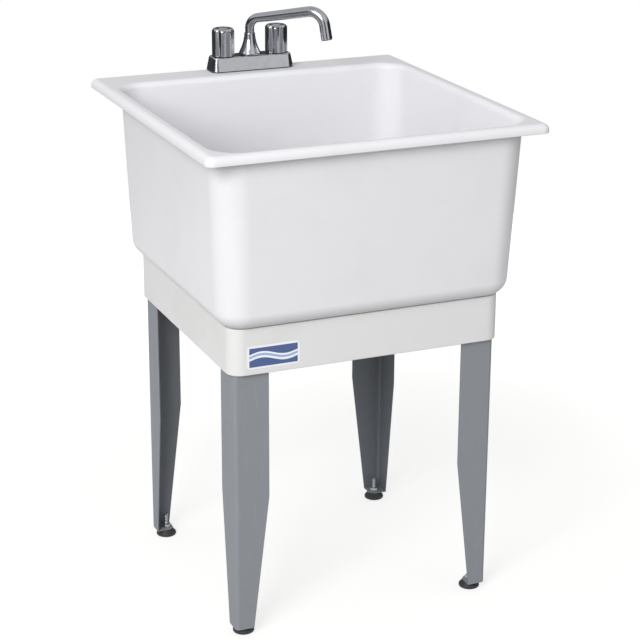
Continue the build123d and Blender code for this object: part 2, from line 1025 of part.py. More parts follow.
with BuildPart() as shank_washers:
    for side in (-1, 1):
        extrude(
            round_section(shank_washer_bottom, shank_washer_radius, side * valve_x, faucet_y),
            amount=shank_washer_thickness,
        )
        extrude(
            round_section(shank_washer_bottom, shank_radius + thread_fit, side * valve_x, faucet_y),
            amount=shank_washer_thickness,
            mode=Mode.SUBTRACT,
        )
finish(shank_washers, "shank_washers")

with BuildPart() as shank_nuts:
    for side in (-1, 1):
        extrude(
            hex_section(shank_nut_bottom, shank_nut_flats, side * valve_x, faucet_y),
            amount=shank_nut_height,
        )
        extrude(
            round_section(shank_nut_bottom, shank_radius + thread_fit, side * valve_x, faucet_y),
            amount=shank_nut_height,
            mode=Mode.SUBTRACT,
        )
finish(shank_nuts, "shank_nuts")


# ---------------------------------------------------------------- valves and handles


def build_valve(prefix, x):
    """Cartridge and bonnet nut on one side of the faucet."""
    with BuildPart() as cartridge:
        extrude(
            round_section(cartridge_bottom, cartridge_radius, x, faucet_y),
            amount=bonnet_top + cartridge_rise - cartridge_bottom,
        )
        extrude(
            round_section(stem_bottom, stem_radius + stem_fit, x, faucet_y),
            amount=stem_depth,
            mode=Mode.SUBTRACT,
        )
    finish(cartridge, prefix + "_cartridge")
    with BuildPart() as bonnet:
        extrude(
            round_section(valve_boss_top, bonnet_neck_radius, x, faucet_y),
            amount=cover_top - valve_boss_top,
        )
        extrude(
            hex_section(cover_top, bonnet_flats, x, faucet_y),
            amount=bonnet_flange_height,
        )
        extrude(
            round_section(valve_boss_top, cartridge_radius + cartridge_fit, x, faucet_y),
            amount=bonnet_top - valve_boss_top,
            mode=Mode.SUBTRACT,
        )
    finish(bonnet, prefix + "_bonnet_nut")


def build_handle(prefix, x):
    """Fluted handle with the stem, screw and index button that turn with it."""
    with BuildPart() as handle:
        extrude(round_section(handle_bottom, handle_radius, x, faucet_y), amount=handle_height)
        fillet(handle.faces().sort_by(Axis.Z)[-1].edges(), handle_top_round)
        with Locations((x, faucet_y, handle_bottom)):
            with PolarLocations(handle_radius + flute_radius - flute_depth, handle_flutes):
                Cylinder(
                    flute_radius,
                    handle_height,
                    align=(Align.CENTER, Align.CENTER, Align.MIN),
                    mode=Mode.SUBTRACT,
                )
        extrude(
            round_section(handle_bottom, handle_radius - handle_wall, x, faucet_y),
            amount=handle_skirt_depth,
            mode=Mode.SUBTRACT,
        )
        extrude(
            round_section(handle_bottom, stem_radius + handle_bore_fit, x, faucet_y),
            amount=stem_top - handle_bottom,
            mode=Mode.SUBTRACT,
        )
        extrude(
            round_section(stem_top, handle_screw_radius + thread_fit, x, faucet_y),
            amount=handle_web,
            mode=Mode.SUBTRACT,
        )
        extrude(
            round_section(handle_screw_seat, handle_screw_head_radius + thread_fit, x, faucet_y),
            amount=handle_screw_head_height,
            mode=Mode.SUBTRACT,
        )
        extrude(
            round_section(handle_top - index_depth, index_radius + index_fit, x, faucet_y),
            amount=index_depth,
            mode=Mode.SUBTRACT,
        )
    finish(handle, prefix + "_handle")
    screw_tip = handle_screw_seat - handle_screw_length
    with BuildPart() as stem:
        extrude(
            round_section(stem_bottom, stem_radius, x, faucet_y),
            amount=stem_top - stem_bottom,
        )
        extrude(
            round_section(screw_tip, handle_screw_radius + thread_fit, x, faucet_y),
            amount=stem_top - screw_tip,
            mode=Mode.SUBTRACT,
        )
    finish(stem, prefix + "_stem")
    with BuildPart() as handle_screw:
        extrude(
            round_section(screw_tip, handle_screw_radius, x, faucet_y),
            amount=handle_screw_length,
        )
        extrude(
            round_section(handle_screw_seat, handle_screw_head_radius, x, faucet_y),
            amount=handle_screw_head_height,
        )
    finish(handle_screw, prefix + "_handle_screw")
    with BuildPart() as index_button:
        extrude(
            round_section(handle_top - index_depth, index_radius, x, faucet_y),
            amount=index_depth,
        )
        fillet(index_button.faces().sort_by(Axis.Z)[-1].edges(), index_round)
    finish(index_button, prefix + "_index_button")


for prefix, x in (("hot", -valve_x), ("cold", valve_x)):
    build_valve(prefix, x)
    build_handle(prefix, x)


# ---------------------------------------------------------------- spout and hub nut

turn = math.radians(spout_turn)
spout_plane = Plane(
    origin=(0, faucet_y, 0),
    x_dir=(math.cos(turn), math.sin(turn), 0),
    z_dir=(math.sin(turn), -math.cos(turn), 0),
)
spout_bend_height = rim_height + spout_run_height
spout_tip_bottom = rim_height + spout_tip_height
spout_bend_reach = spout_reach - spout_tip_kick
oring_places = [
    (0, faucet_y, journal_bottom + count * oring_pitch) for count in range(1, oring_count + 1)
]

with BuildPart() as spout:
    with BuildLine(spout_plane) as spout_line:
        FilletPolyline(
            (0, journal_bottom),
            (0, spout_bend_height),
            (spout_bend_reach, spout_bend_height + spout_run_rise),
            (spout_reach, spout_tip_bottom),
            radius=[spout_riser_bend, spout_tip_bend],
        )
    root_plane = Plane(origin=spout_line.line @ 0, z_dir=spout_line.line % 0)
    tip_plane = Plane(origin=spout_line.line @ 1, z_dir=spout_line.line % 1)
    with BuildSketch(root_plane) as root_outside:
        Circle(spout_root_radius)
    with BuildSketch(tip_plane) as tip_outside:
        Circle(spout_tip_radius)
    sweep(sections=[root_outside.sketch, tip_outside.sketch], path=spout_line.line, multisection=True)
    extrude(
        round_section(journal_bottom, journal_radius, 0, faucet_y),
        amount=journal_top - journal_bottom,
    )
    with Locations(*oring_places):
        Cylinder(
            journal_radius,
            oring_thickness + 2 * oring_groove_fit,
            mode=Mode.SUBTRACT,
        )
        Cylinder(
            journal_radius - oring_thickness - oring_groove_fit,
            oring_thickness + 2 * oring_groove_fit,
        )
    with BuildSketch(root_plane) as root_inside:
        Circle(spout_root_radius - spout_wall)
    with BuildSketch(tip_plane) as tip_inside:
        Circle(spout_tip_radius - spout_wall)
    sweep(
        sections=[root_inside.sketch, tip_inside.sketch],
        path=spout_line.line,
        multisection=True,
        mode=Mode.SUBTRACT,
    )
finish(spout, "spout")

with BuildPart() as spout_orings:
    with Locations(*oring_places):
        Torus(journal_radius - oring_thickness / 2, oring_thickness / 2)
finish(spout_orings, "spout_orings")

with BuildPart() as spout_nut:
    with BuildSketch(Plane.XZ.offset(-faucet_y)) as nut_profile:
        with BuildLine():
            Polyline(
                (hub_nut_top_radius, hub_nut_top - hub_nut_lip),
                (hub_nut_top_radius, hub_nut_top),
                (spout_root_radius + hub_nut_spout_gap, hub_nut_top),
                (spout_root_radius + hub_nut_spout_gap, hub_boss_top),
                (hub_boss_radius + thread_fit, hub_boss_top),
                (hub_boss_radius + thread_fit, hub_nut_bottom),
                (hub_nut_radius, hub_nut_bottom),
                (hub_nut_radius, hub_nut_bottom + hub_nut_skirt),
            )
            # the flank is hollow, like a bell
            SagittaArc(
                (hub_nut_radius, hub_nut_bottom + hub_nut_skirt),
                (hub_nut_top_radius, hub_nut_top - hub_nut_lip),
                hub_nut_sagitta,
            )
        make_face()
    revolve(axis=Axis((0, faucet_y, 0), (0, 0, 1)))
finish(spout_nut, "spout_nut")

aerator_radius = spout_tip_radius - spout_wall - aerator_fit
screen_seat_radius = aerator_radius - aerator_wall
with BuildPart() as aerator:
    with BuildSketch(tip_plane) as aerator_body:
        Circle(aerator_radius)
    extrude(amount=-aerator_depth)
    with BuildSketch(tip_plane) as aerator_flange:
        Circle(aerator_flange_radius)
    extrude(amount=aerator_proud)
    with BuildSketch(tip_plane.offset(aerator_proud)) as aerator_bore:
        Circle(screen_seat_radius - aerator_step)
    extrude(amount=-aerator_depth - aerator_proud, mode=Mode.SUBTRACT)
    with BuildSketch(tip_plane.offset(aerator_proud)) as screen_seat:
        Circle(screen_seat_radius)
    extrude(amount=-screen_depth, mode=Mode.SUBTRACT)
finish(aerator, "aerator")

with BuildPart() as aerator_screen:
    with BuildSketch(tip_plane.offset(aerator_proud - screen_depth)) as screen_face:
        Circle(screen_seat_radius - aerator_fit)
        for ring in range(screen_rings):
            with PolarLocations(ring * screen_pitch, max(1, 6 * ring)):
                Circle(screen_hole_radius, mode=Mode.SUBTRACT)
    extrude(amount=screen_thickness)
finish(aerator_screen, "aerator_screen")
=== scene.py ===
"""Utility laundry sink: its finished surfaces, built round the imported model.

A moulded tub with a rolled rim sits on a base skirt, carried by four folded and
enamelled steel legs on levelling feet. A chrome two-handle faucet with a swing spout
stands on the rear ledge, and a drain with a lift-out stopper is set in the floor.

Sizes are in millimetres, in the same places as the solids; meshes are made in metres.
"""

import logging
import math
from collections.abc import Callable, Sequence
from dataclasses import astuple, dataclass, field
from enum import Enum
from typing import ClassVar

import bmesh
import bpy
from mathutils import Matrix, Vector


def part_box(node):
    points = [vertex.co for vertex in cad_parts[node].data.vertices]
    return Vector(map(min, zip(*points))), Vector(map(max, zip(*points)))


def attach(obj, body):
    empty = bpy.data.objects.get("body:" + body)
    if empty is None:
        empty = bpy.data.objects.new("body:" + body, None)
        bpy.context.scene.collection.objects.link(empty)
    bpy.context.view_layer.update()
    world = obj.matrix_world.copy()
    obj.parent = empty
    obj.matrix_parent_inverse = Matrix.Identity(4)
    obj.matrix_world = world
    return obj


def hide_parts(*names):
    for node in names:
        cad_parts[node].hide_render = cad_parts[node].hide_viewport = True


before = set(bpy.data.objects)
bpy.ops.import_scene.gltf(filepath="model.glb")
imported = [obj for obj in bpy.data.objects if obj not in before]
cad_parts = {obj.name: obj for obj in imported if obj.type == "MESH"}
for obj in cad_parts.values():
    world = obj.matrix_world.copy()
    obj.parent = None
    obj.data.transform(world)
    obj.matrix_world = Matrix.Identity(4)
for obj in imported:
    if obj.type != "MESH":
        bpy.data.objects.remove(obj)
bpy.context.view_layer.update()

Skin = bmesh.types.BMesh  # a mesh in the making, in millimetres
Node = bpy.types.Node
Socket = bpy.types.NodeSocket
Tree = bpy.types.NodeTree
Point = tuple[float, float]

LOG = logging.getLogger("laundry_sink")
MM = 0.001
WELD = 0.002  # points of one skin that are nearer than this, in millimetres, are the same
FLAT = math.radians(0.4)  # faces that meet at less than this are one flat face
SHADING_WEIGHT = 60  # how far large faces lead the shading of small ones
BEVEL_SEGMENTS = 2
CORNER_STEPS = 16  # stretches in each corner of an outline
SUPPORT = 5.0  # how far past each corner the straight side gets one more point
FLOAT = "NodeSocketFloat"


# ---------------------------------------------------------------- small tools


def feed(tree: Tree, node: Node, inputs: dict[str | int, object]) -> None:
    """Sets a node's inputs.

    Args:
        tree: The node's tree.
        node: The node.
        inputs: Socket name or index to a plain value, or to the output that links there;
            a node stands for its first output in use.
    """
    for key, value in inputs.items():
        if isinstance(value, Node):
            value = next(output for output in value.outputs if output.enabled)
        if isinstance(value, Socket):
            tree.links.new(value, node.inputs[key])
        else:
            node.inputs[key].default_value = value


def add_node(
    tree: Tree, kind: str, inputs: dict[str | int, object] | None = None, **settings: object
) -> Node:
    """Adds one node with its settings, values and links.

    Args:
        tree: The tree that gets the node.
        kind: The node's class name.
        inputs: What its sockets get, as for feed.
        settings: The node's own properties.

    Returns:
        The new node.
    """
    node = tree.nodes.new(kind)
    for name, value in settings.items():
        setattr(node, name, value)
    feed(tree, node, inputs or {})
    return node


def linear(colour: str) -> tuple[float, float, float, float]:
    """Turns an sRGB hex colour into the linear values that a shader reads.

    Args:
        colour: Six hex digits after a hash sign.

    Returns:
        Linear red, green, blue and a full alpha.
    """
    channels = [int(colour[place : place + 2], 16) / 255 for place in (1, 3, 5)]
    red, green, blue = (
        value / 12.92 if value <= 0.04045 else ((value + 0.055) / 1.055) ** 2.4
        for value in channels
    )
    return red, green, blue, 1.0


def per_metre(size_mm: float) -> float:
    """Gives the texture scale at which one feature measures this many millimetres."""
    return 1 / (size_mm * MM)


def place_in_scene(name: str, data: bpy.types.ID) -> bpy.types.Object:
    """Makes an object at the origin and puts it in the scene."""
    made = bpy.data.objects.new(name, data)
    bpy.context.scene.collection.objects.link(made)
    return made


def as_mesh(name: str, skin: Skin) -> bpy.types.Mesh:
    """Turns a skin into mesh data as it is, and frees it."""
    data = bpy.data.meshes.new(name)
    skin.to_mesh(data)
    skin.free()
    return data


def settled(carrier: bpy.types.Object) -> Skin:
    """Gives an object's mesh as its modifiers leave it."""
    graph = bpy.context.evaluated_depsgraph_get()
    data = bpy.data.meshes.new_from_object(carrier.evaluated_get(graph))
    skin = bmesh.new()
    skin.from_mesh(data)
    bpy.data.meshes.remove(data)
    return skin


# ---------------------------------------------------------------- finishes


@dataclass(frozen=True)
class Finish:
    """What every finish shares: its name, its colour, how sharply it reflects, and its slot."""

    name: str
    colour: str
    roughness: float
    slot: str = ""

    def material(self) -> bpy.types.Material:
        """Makes the material once, and finds it again after that."""
        made = bpy.data.materials.get(self.name)
        if made is None:
            made = bpy.data.materials.new(self.name)
            made.use_nodes = True
            tree = made.node_tree
            tree.nodes.clear()
            plain = {"Base Color": linear(self.colour), "Roughness": self.roughness}
            shader = add_node(tree, "ShaderNodeBsdfPrincipled", plain)
            add_node(tree, "ShaderNodeOutputMaterial", {"Surface": shader})
            self.paint(tree, shader, add_node(tree, "ShaderNodeTexCoord").outputs["Object"])
        return made

    def paint(self, tree: Tree, shader: Node, place: Socket) -> None:
        """Adds what the eye sees beyond one flat colour; each finish has its own."""

    def cloud(
        self,
        tree: Tree,
        shader: Node,
        pattern: Node,
        second: str,
        shows: Point,
        gloss: Sequence[float] = (),
        share: float = 1.0,
    ) -> None:
        """Lets a pattern bring in a second colour, and change the gloss with it.

        Args:
            tree: The material's nodes.
            shader: Its shader.
            pattern: What both follow.
            second: The second colour.
            shows: Where in the pattern that colour begins, and where it is full.
            gloss: The two ends of the pattern between which the gloss changes, and what is
                added to the roughness at each; nothing leaves the gloss even.
            share: How much of the second colour there is where it is full.
        """
        begins, full = shows
        tone = {"Value": pattern, "From Min": begins, "From Max": full, "To Max": share}
        tone = add_node(tree, "ShaderNodeMapRange", tone)
        colours = {"Factor": tone, 6: linear(self.colour), 7: linear(second)}
        mix = add_node(tree, "ShaderNodeMix", colours, data_type="RGBA")
        feed(tree, shader, {"Base Color": mix})
        if gloss:
            low, high, at_low, at_high = gloss
            spread = {
                "Value": pattern,
                "From Min": low,
                "From Max": high,
                "To Min": self.roughness + at_low,
                "To Max": self.roughness + at_high,
            }
            feed(tree, shader, {"Roughness": add_node(tree, "ShaderNodeMapRange", spread)})

    def relief(
        self,
        tree: Tree,
        shader: Node,
        place: Socket | Node,
        size_mm: float,
        depth_mm: float,
        detail: float,
    ) -> None:
        """Raises a fine grain, over the relief that the shader has already.

        Args:
            tree: The material's nodes.
            shader: Its shader.
            place: Where on the piece, in metres.
            size_mm: The size of one grain.
            depth_mm: Its height.
            detail: How many finer layers the grain has.
        """
        grain = {"Vector": place, "Scale": per_metre(size_mm), "Detail": detail}
        height = add_node(tree, "ShaderNodeTexNoise", grain)
        bump = {"Height": height, "Distance": depth_mm * MM, "Strength": 1.0}
        for under in shader.inputs["Normal"].links:
            bump["Normal"] = under.from_socket
        feed(tree, shader, {"Normal": add_node(tree, "ShaderNodeBump", bump)})


@dataclass(frozen=True)
class MouldedPlastic(Finish):
    """Injection-moulded plastic: an even satin skin with a fine grain from the mould.

    The grain is really about half a millimetre; it is drawn as coarse as it must be to
    show. Cooling leaves the skin very slightly wavy, and handling leaves faint marks.
    """

    shade: str = "#D8D8DA"
    ior: float = 1.49
    grain_mm: float = 2.2
    grain_depth_mm: float = 0.035
    wave_mm: float = 90.0
    wave_depth_mm: float = 0.25
    mark_mm: float = 140.0

    def paint(self, tree: Tree, shader: Node, place: Socket) -> None:
        """Adds the mould's grain, the skin's waviness and faint marks of use."""
        feed(tree, shader, {"IOR": self.ior})
        marks = {"Vector": place, "Scale": per_metre(self.mark_mm)}
        marks |= {"Detail": 6.0, "Roughness": 0.62}
        marks = add_node(tree, "ShaderNodeTexNoise", marks)
        self.cloud(tree, shader, marks, self.shade, (0.48, 0.78), gloss=(0.3, 0.7, -0.04, 0.04))
        self.relief(tree, shader, place, self.wave_mm, self.wave_depth_mm, 1.0)
        self.relief(tree, shader, place, self.grain_mm, self.grain_depth_mm, 2.0)


@dataclass(frozen=True)
class PowderEnamel(Finish):
    """Baked powder enamel on sheet steel: satin, with a soft orange peel and a few scuffs.

    Real orange peel is 1 to 2 mm across, and is drawn a little coarser to show. Scuffs are
    paler streaks along the leg, where it is pushed about.
    """

    scuff: str = "#979A9F"
    peel_mm: float = 2.6
    peel_depth_mm: float = 0.03
    scuff_mm: float = 14.0
    scuff_stretch: float = 6.0

    def paint(self, tree: Tree, shader: Node, place: Socket) -> None:
        """Adds the orange peel, the clouding of the powder and the scuffs."""
        upright = {"Vector": place, "Scale": (1.0, 1.0, 1 / self.scuff_stretch)}
        upright = add_node(tree, "ShaderNodeMapping", upright)
        scuffs = {"Vector": upright, "Scale": per_metre(self.scuff_mm)}
        scuffs |= {"Detail": 8.0, "Roughness": 0.7}
        scuffs = add_node(tree, "ShaderNodeTexNoise", scuffs)
        self.cloud(tree, shader, scuffs, self.scuff, (0.55, 0.85), gloss=(0.3, 0.8, -0.05, 0.15))
        self.relief(tree, shader, place, self.peel_mm, self.peel_depth_mm, 1.5)


class Grain(Enum):
    """Which way a metal's working marks run, as the stretch of their pattern on X, Y and Z."""

    EVEN = (1.0, 1.0, 1.0)
    LEVEL = (0.2, 0.2, 6.0)


@dataclass(frozen=True)
class WorkedMetal(Finish):
    """Bare or plated metal: fine working marks, and a slightly uneven polish.

    Plating follows the polish under it, so its marks are faint; brushed sheet and turned
    brass have theirs about half a millimetre apart, drawn a little coarser to show.
    """

    tarnish: str = "#909090"
    tarnish_mm: float = 22.0
    tarnish_share: float = 0.35
    mark_mm: float = 1.2
    mark_depth_mm: float = 0.01
    grain: Grain = Grain.EVEN
    dulling: float = 0.1

    def paint(self, tree: Tree, shader: Node, place: Socket) -> None:
        """Adds the working marks, a cloudy film and the polish's unevenness."""
        feed(tree, shader, {"Metallic": 1.0})
        film = {"Vector": place, "Scale": per_metre(self.tarnish_mm)}
        film |= {"Detail": 5.0, "Roughness": 0.6}
        film = add_node(tree, "ShaderNodeTexNoise", film)
        gloss = (0.3, 0.75, 0.0, self.dulling)
        self.cloud(tree, shader, film, self.tarnish, (0.45, 0.8), gloss, self.tarnish_share)
        worked = add_node(tree, "ShaderNodeMapping", {"Vector": place, "Scale": self.grain.value})
        self.relief(tree, shader, worked, self.mark_mm, self.mark_depth_mm, 3.0)


@dataclass(frozen=True)
class IndexCap(WorkedMetal):
    """Chrome cap with a small round colour dot in its middle, red for hot or blue for cold."""

    dot: str = "#A02020"
    dot_radius_mm: float = 2.6
    centre_mm: Point = (0.0, 0.0)

    def paint(self, tree: Tree, shader: Node, place: Socket) -> None:
        """Adds the painted dot over the chrome."""
        WorkedMetal.paint(self, tree, shader, place)
        chrome = shader.inputs["Base Color"].links[0].from_socket
        x, y = (-side * MM for side in self.centre_mm)
        centred = {"Vector": place, "Location": (x, y, 0.0), "Scale": (1.0, 1.0, 0.0)}
        centred = add_node(tree, "ShaderNodeMapping", centred)
        out = add_node(tree, "ShaderNodeVectorMath", {0: centred}, operation="LENGTH")
        edge = {0: out, 1: self.dot_radius_mm * MM}
        inside = add_node(tree, "ShaderNodeMath", edge, operation="LESS_THAN")
        colours = {"Factor": inside, 6: chrome, 7: linear(self.dot)}
        mix = add_node(tree, "ShaderNodeMix", colours, data_type="RGBA")
        bare = add_node(tree, "ShaderNodeMath", {0: 1.0, 1: inside}, operation="SUBTRACT")
        feed(tree, shader, {"Base Color": mix, "Metallic": bare})


@dataclass(frozen=True)
class MouldedRubber(Finish):
    """Moulded black rubber: matt, faintly speckled, paler where it blooms."""

    bloom: str = "#3A3A3B"
    bloom_mm: float = 18.0
    speck_mm: float = 1.0
    speck_depth_mm: float = 0.05

    def paint(self, tree: Tree, shader: Node, place: Socket) -> None:
        """Adds the grey bloom and the speckled skin."""
        bloom = {"Vector": place, "Scale": per_metre(self.bloom_mm), "Detail": 6.0}
        bloom = add_node(tree, "ShaderNodeTexNoise", bloom)
        self.cloud(tree, shader, bloom, self.bloom, (0.4, 0.8))
        self.relief(tree, shader, place, self.speck_mm, self.speck_depth_mm, 2.0)


@dataclass(frozen=True)
class PrintedFilm(Finish):
    """Glossy printed film: plain blue and pale waves inside a white border, no lettering."""

    deep: str = "#2C4A86"
    pale: str = "#8FA9D6"
    centre_mm: Point = (0.0, 0.0)
    half_size_mm: Point = (45.0, 19.0)
    border: float = 0.84
    wave_count: float = 2.2
    wave_rise: float = 0.22

    def paint(self, tree: Tree, shader: Node, place: Socket) -> None:
        """Adds the waves and the border, from the film's own width and height."""
        feed(tree, shader, {"Coat Weight": 0.6, "Coat Roughness": 0.12})
        across, up = (size * MM for size in self.half_size_mm)
        x, z = (-side * MM / half for side, half in zip(self.centre_mm, (across, up)))
        local = {"Vector": place, "Location": (x, 0.0, z), "Scale": (1 / across, 0.0, 1 / up)}
        local = add_node(tree, "ShaderNodeMapping", local)
        axes = add_node(tree, "ShaderNodeSeparateXYZ", {0: local}).outputs
        turns = {0: axes["X"], 1: self.wave_count * math.pi / 2}
        phase = add_node(tree, "ShaderNodeMath", turns, operation="MULTIPLY")
        swing = add_node(tree, "ShaderNodeMath", {0: phase}, operation="SINE")
        raised = {0: swing, 1: self.wave_rise, 2: axes["Z"]}
        level = add_node(tree, "ShaderNodeMath", raised, operation="MULTIPLY_ADD")
        whole = {"Value": level, "From Min": -1.0, "From Max": 1.0}
        bands = add_node(tree, "ShaderNodeMapRange", whole)
        blue, white, light = linear(self.deep), linear(self.colour), linear(self.pale)
        stops = ((0.0, blue), (0.36, white), (0.46, light), (0.56, white), (0.64, blue))
        ramp = add_ramp(tree, bands, stops, interpolation="CONSTANT")
        edges = []
        for axis, share in (("X", (1 + self.border) / 2), ("Z", self.border)):
            size = add_node(tree, "ShaderNodeMath", {0: axes[axis]}, operation="ABSOLUTE")
            past = add_node(tree, "ShaderNodeMath", {0: size, 1: share}, operation="GREATER_THAN")
            edges.append(past)
        margin = add_node(tree, "ShaderNodeMath", dict(enumerate(edges)), operation="MAXIMUM")
        colours = {"Factor": margin, 6: ramp, 7: white}
        mix = add_node(tree, "ShaderNodeMix", colours, data_type="RGBA")
        feed(tree, shader, {"Base Color": mix})


def add_ramp(
    tree: Tree,
    value: Node | Socket,
    stops: Sequence[tuple[float, tuple[float, float, float, float]]],
    interpolation: str = "LINEAR",
) -> Node:
    """Adds a ramp of colours.

    Args:
        tree: The tree it goes in.
        value: What it follows, from 0 to 1.
        stops: The place and the linear colour of each stop.
        interpolation: How it runs between them.

    Returns:
        The ramp.
    """
    node = add_node(tree, "ShaderNodeValToRGB", {"Fac": value})
    ramp = node.color_ramp
    ramp.interpolation = interpolation
    for spot, _ in stops[2:]:
        ramp.elements.new(spot)
    for element, (spot, colour) in zip(ramp.elements, stops):
        element.position, element.color = spot, colour
    return node


# polypropylene, injection moulded: an even satin skin
TUB_PLASTIC = MouldedPlastic(
    "moulded polypropylene, tub", "#E4E4E7", 0.50, "tub_plastic", shade="#DFDFE3"
)
# the same plastic from a coarser mould, more matt; its colour is a little darker and warmer than
# the tub's: painted shade under the tub's shoulder
SKIRT_PLASTIC = MouldedPlastic(
    "moulded polypropylene, skirt, darkened as painted shade", "#DEDEDE", 0.58, "skirt_plastic",
    shade="#D8D7D6", grain_mm=3.0, grain_depth_mm=0.05,
)
# powder enamel baked on folded sheet steel: satin grey, with soft orange peel
LEG_ENAMEL = PowderEnamel("grey powder enamel", "#85898F", 0.56, "leg_enamel", scuff="#919499")
# Inside the fold, under the tub, the same grey enamel is painted darker and flatter: painted shade.
LEG_INSIDE_SHADE = PowderEnamel(
    "thin grey powder enamel, inside of fold", "#6A6E74", 0.62, "leg_enamel", scuff="#787B80"
)
# zinc plating, passivated: bluish and cloudy
ZINC = WorkedMetal(
    "zinc plate", "#B4B8BD", 0.32, "zinc_steel", tarnish="#8C9096", tarnish_mm=9.0, dulling=0.16
)
# stainless sheet, brushed level: a soft sheen drawn out along the brushing
STAINLESS = WorkedMetal(
    "brushed stainless steel", "#BDBCBA", 0.26, "stainless_steel",
    tarnish="#9A9996", mark_depth_mm=0.03, grain=Grain.LEVEL,
)
# bright chrome over a polished casting: mirror-like, with a faint film of dried water
CHROME = WorkedMetal(
    "polished chrome plate", "#B3B5B9", 0.06, "chrome_plate",
    tarnish="#909296", tarnish_mm=16.0, tarnish_share=0.3, mark_depth_mm=0.004, dulling=0.12,
)
# brass as cast and turned, unpolished: dull yellow, browned in places
BRASS = WorkedMetal(
    "turned brass", "#B5934F", 0.34, "cast_brass",
    tarnish="#6E5630", tarnish_share=0.6, mark_depth_mm=0.03, grain=Grain.LEVEL,
)
# nitrile and EPDM mouldings: matt black with a grey bloom
RUBBER = MouldedRubber("moulded black rubber", "#1D1D1E", 0.72, "black_rubber")
# glass-filled nylon, moulded black: a dull skin, greyer where it is handled
BLACK_NYLON = MouldedPlastic(
    "moulded black nylon", "#262628", 0.5, "black_plastic",
    shade="#333335", ior=1.53, grain_mm=1.2, mark_mm=25.0, wave_mm=30.0, wave_depth_mm=0.05,
)
# white PVC, moulded glossy, yellowed very slightly
WHITE_PVC = MouldedPlastic(
    "moulded white PVC", "#E6E4DE", 0.26, "white_plastic",
    shade="#D6D3CA", ior=1.53, grain_mm=2.0, grain_depth_mm=0.01, mark_mm=40.0,
)


# ---------------------------------------------------------------- shaping tools


def rounded_path(
    corners: Sequence[tuple[float, float, float]], steps: int, closed: bool = False
) -> list[Point]:
    """Rounds the corners of a line.

    Args:
        corners: Each corner's two coordinates and the radius that it gets.
        steps: Stretches that each rounded corner is divided into.
        closed: Whether the last corner runs on to the first.

    Returns:
        The line's points, arcs included.
    """
    points: list[Point] = []
    last = len(corners) - 1
    for place, (across, up, radius) in enumerate(corners):
        if radius <= 0 or (not closed and place in (0, last)):
            points.append((across, up))
            continue
        here = Vector((across, up))
        following = corners[0 if place == last else place + 1]
        into = (here - Vector(corners[place - 1][:2])).normalized()
        out = (Vector(following[:2]) - here).normalized()
        turn = into.angle(out)
        centre = here + (out - into).normalized() * radius / math.cos(turn / 2)
        start = here - into * radius * math.tan(turn / 2) - centre
        end = here + out * radius * math.tan(turn / 2) - centre
        side = (end - start * math.cos(turn)) / math.sin(turn)
        for step in range(steps + 1):
            share = turn * step / steps
            point = centre + start * math.cos(share) + side * math.sin(share)
            points.append((point.x, point.y))
    return points


@dataclass(frozen=True)
class Outline:
    """Rounded rectangle seen from above, symmetric left and right, in millimetres."""

    half: float
    front: float
    rear: float
    radius: float
    tightest: ClassVar[float] = 0.5

    def inset(self, by: float) -> "Outline":
        """Draws the outline in on every side; its corners get tighter by as much."""
        radius = max(self.radius - by, self.tightest)
        return Outline(self.half - by, self.front + by, self.rear - by, radius)

    def toward(self, other: "Outline", share: float) -> "Outline":
        """Blends this outline with another, by a share from 0 to 1."""
        pairs = zip(astuple(self), astuple(other))
        return Outline(*(mine + (theirs - mine) * share for mine, theirs in pairs))

    def ring(self, height: float) -> list[Vector]:
        """Gives the outline's points at a height, counter-clockwise from its right side's front."""
        radius, steps = self.radius, CORNER_STEPS
        side, front, rear = self.half - radius, self.front + radius, self.rear - radius
        wide, deep = (min(SUPPORT, max(run, 0.0) / 2) for run in (side, (rear - front) / 2))
        points = []
        for x, y, start in (
            (side, front, -90),
            (side, rear, 0),
            (-side, rear, 90),
            (-side, front, 180),
        ):
            angles = [math.radians(start + 90 * step / steps) for step in range(steps + 1)]
            arc = [
                Vector((x + radius * math.cos(angle), y + radius * math.sin(angle), height))
                for angle in angles
            ]
            before, after = (wide, deep) if start in (-90, 90) else (deep, wide)
            into, out = (
                Vector((-math.sin(angle), math.cos(angle), 0.0))
                for angle in (angles[0], angles[-1])
            )
            points += [arc[0] - into * before, *arc, arc[-1] + out * after]
        return points


def loft(rings: Sequence[Sequence[Vector]], closed: bool = False, capped: bool = False) -> Skin:
    """Joins rings of equal length into one skin.

    Args:
        rings: The rings in order.
        closed: Whether the last ring joins the first.
        capped: Whether the two end rings are filled.

    Returns:
        The skin, in millimetres.
    """
    mesh = bmesh.new()
    rows = [[mesh.verts.new(point) for point in ring] for ring in rings]
    pairs = list(zip(rows, rows[1:])) + ([(rows[-1], rows[0])] if closed else [])
    for below, above in pairs:
        for place in range(len(below)):
            following = (place + 1) % len(below)
            mesh.faces.new((below[place], below[following], above[following], above[place]))
    if capped:
        mesh.faces.new(list(reversed(rows[0])))
        mesh.faces.new(rows[-1])
    return mesh


def rings_along(
    outline_at: Callable[[float], Outline],
    corners: Sequence[tuple[float, float, float]],
    steps: int,
) -> list[list[Vector]]:
    """Gives the rings of a wall that follows an outline.

    Args:
        outline_at: Gives the outline at a height.
        corners: How far the wall is inset from it, the height, and the rounding there.
        steps: Stretches that each rounded corner is divided into.

    Returns:
        The rings, from the first corner to the last.
    """
    path = rounded_path(corners, steps)
    return [outline_at(height).inset(by).ring(height) for by, height in path]


def circle(centre: Point, radius: float, height: float, count: int) -> list[Vector]:
    """Gives evenly spaced points round a level circle."""
    x, y = centre
    angles = (2 * math.pi * place / count for place in range(count))
    return [
        Vector((x + radius * math.cos(angle), y + radius * math.sin(angle), height))
        for angle in angles
    ]


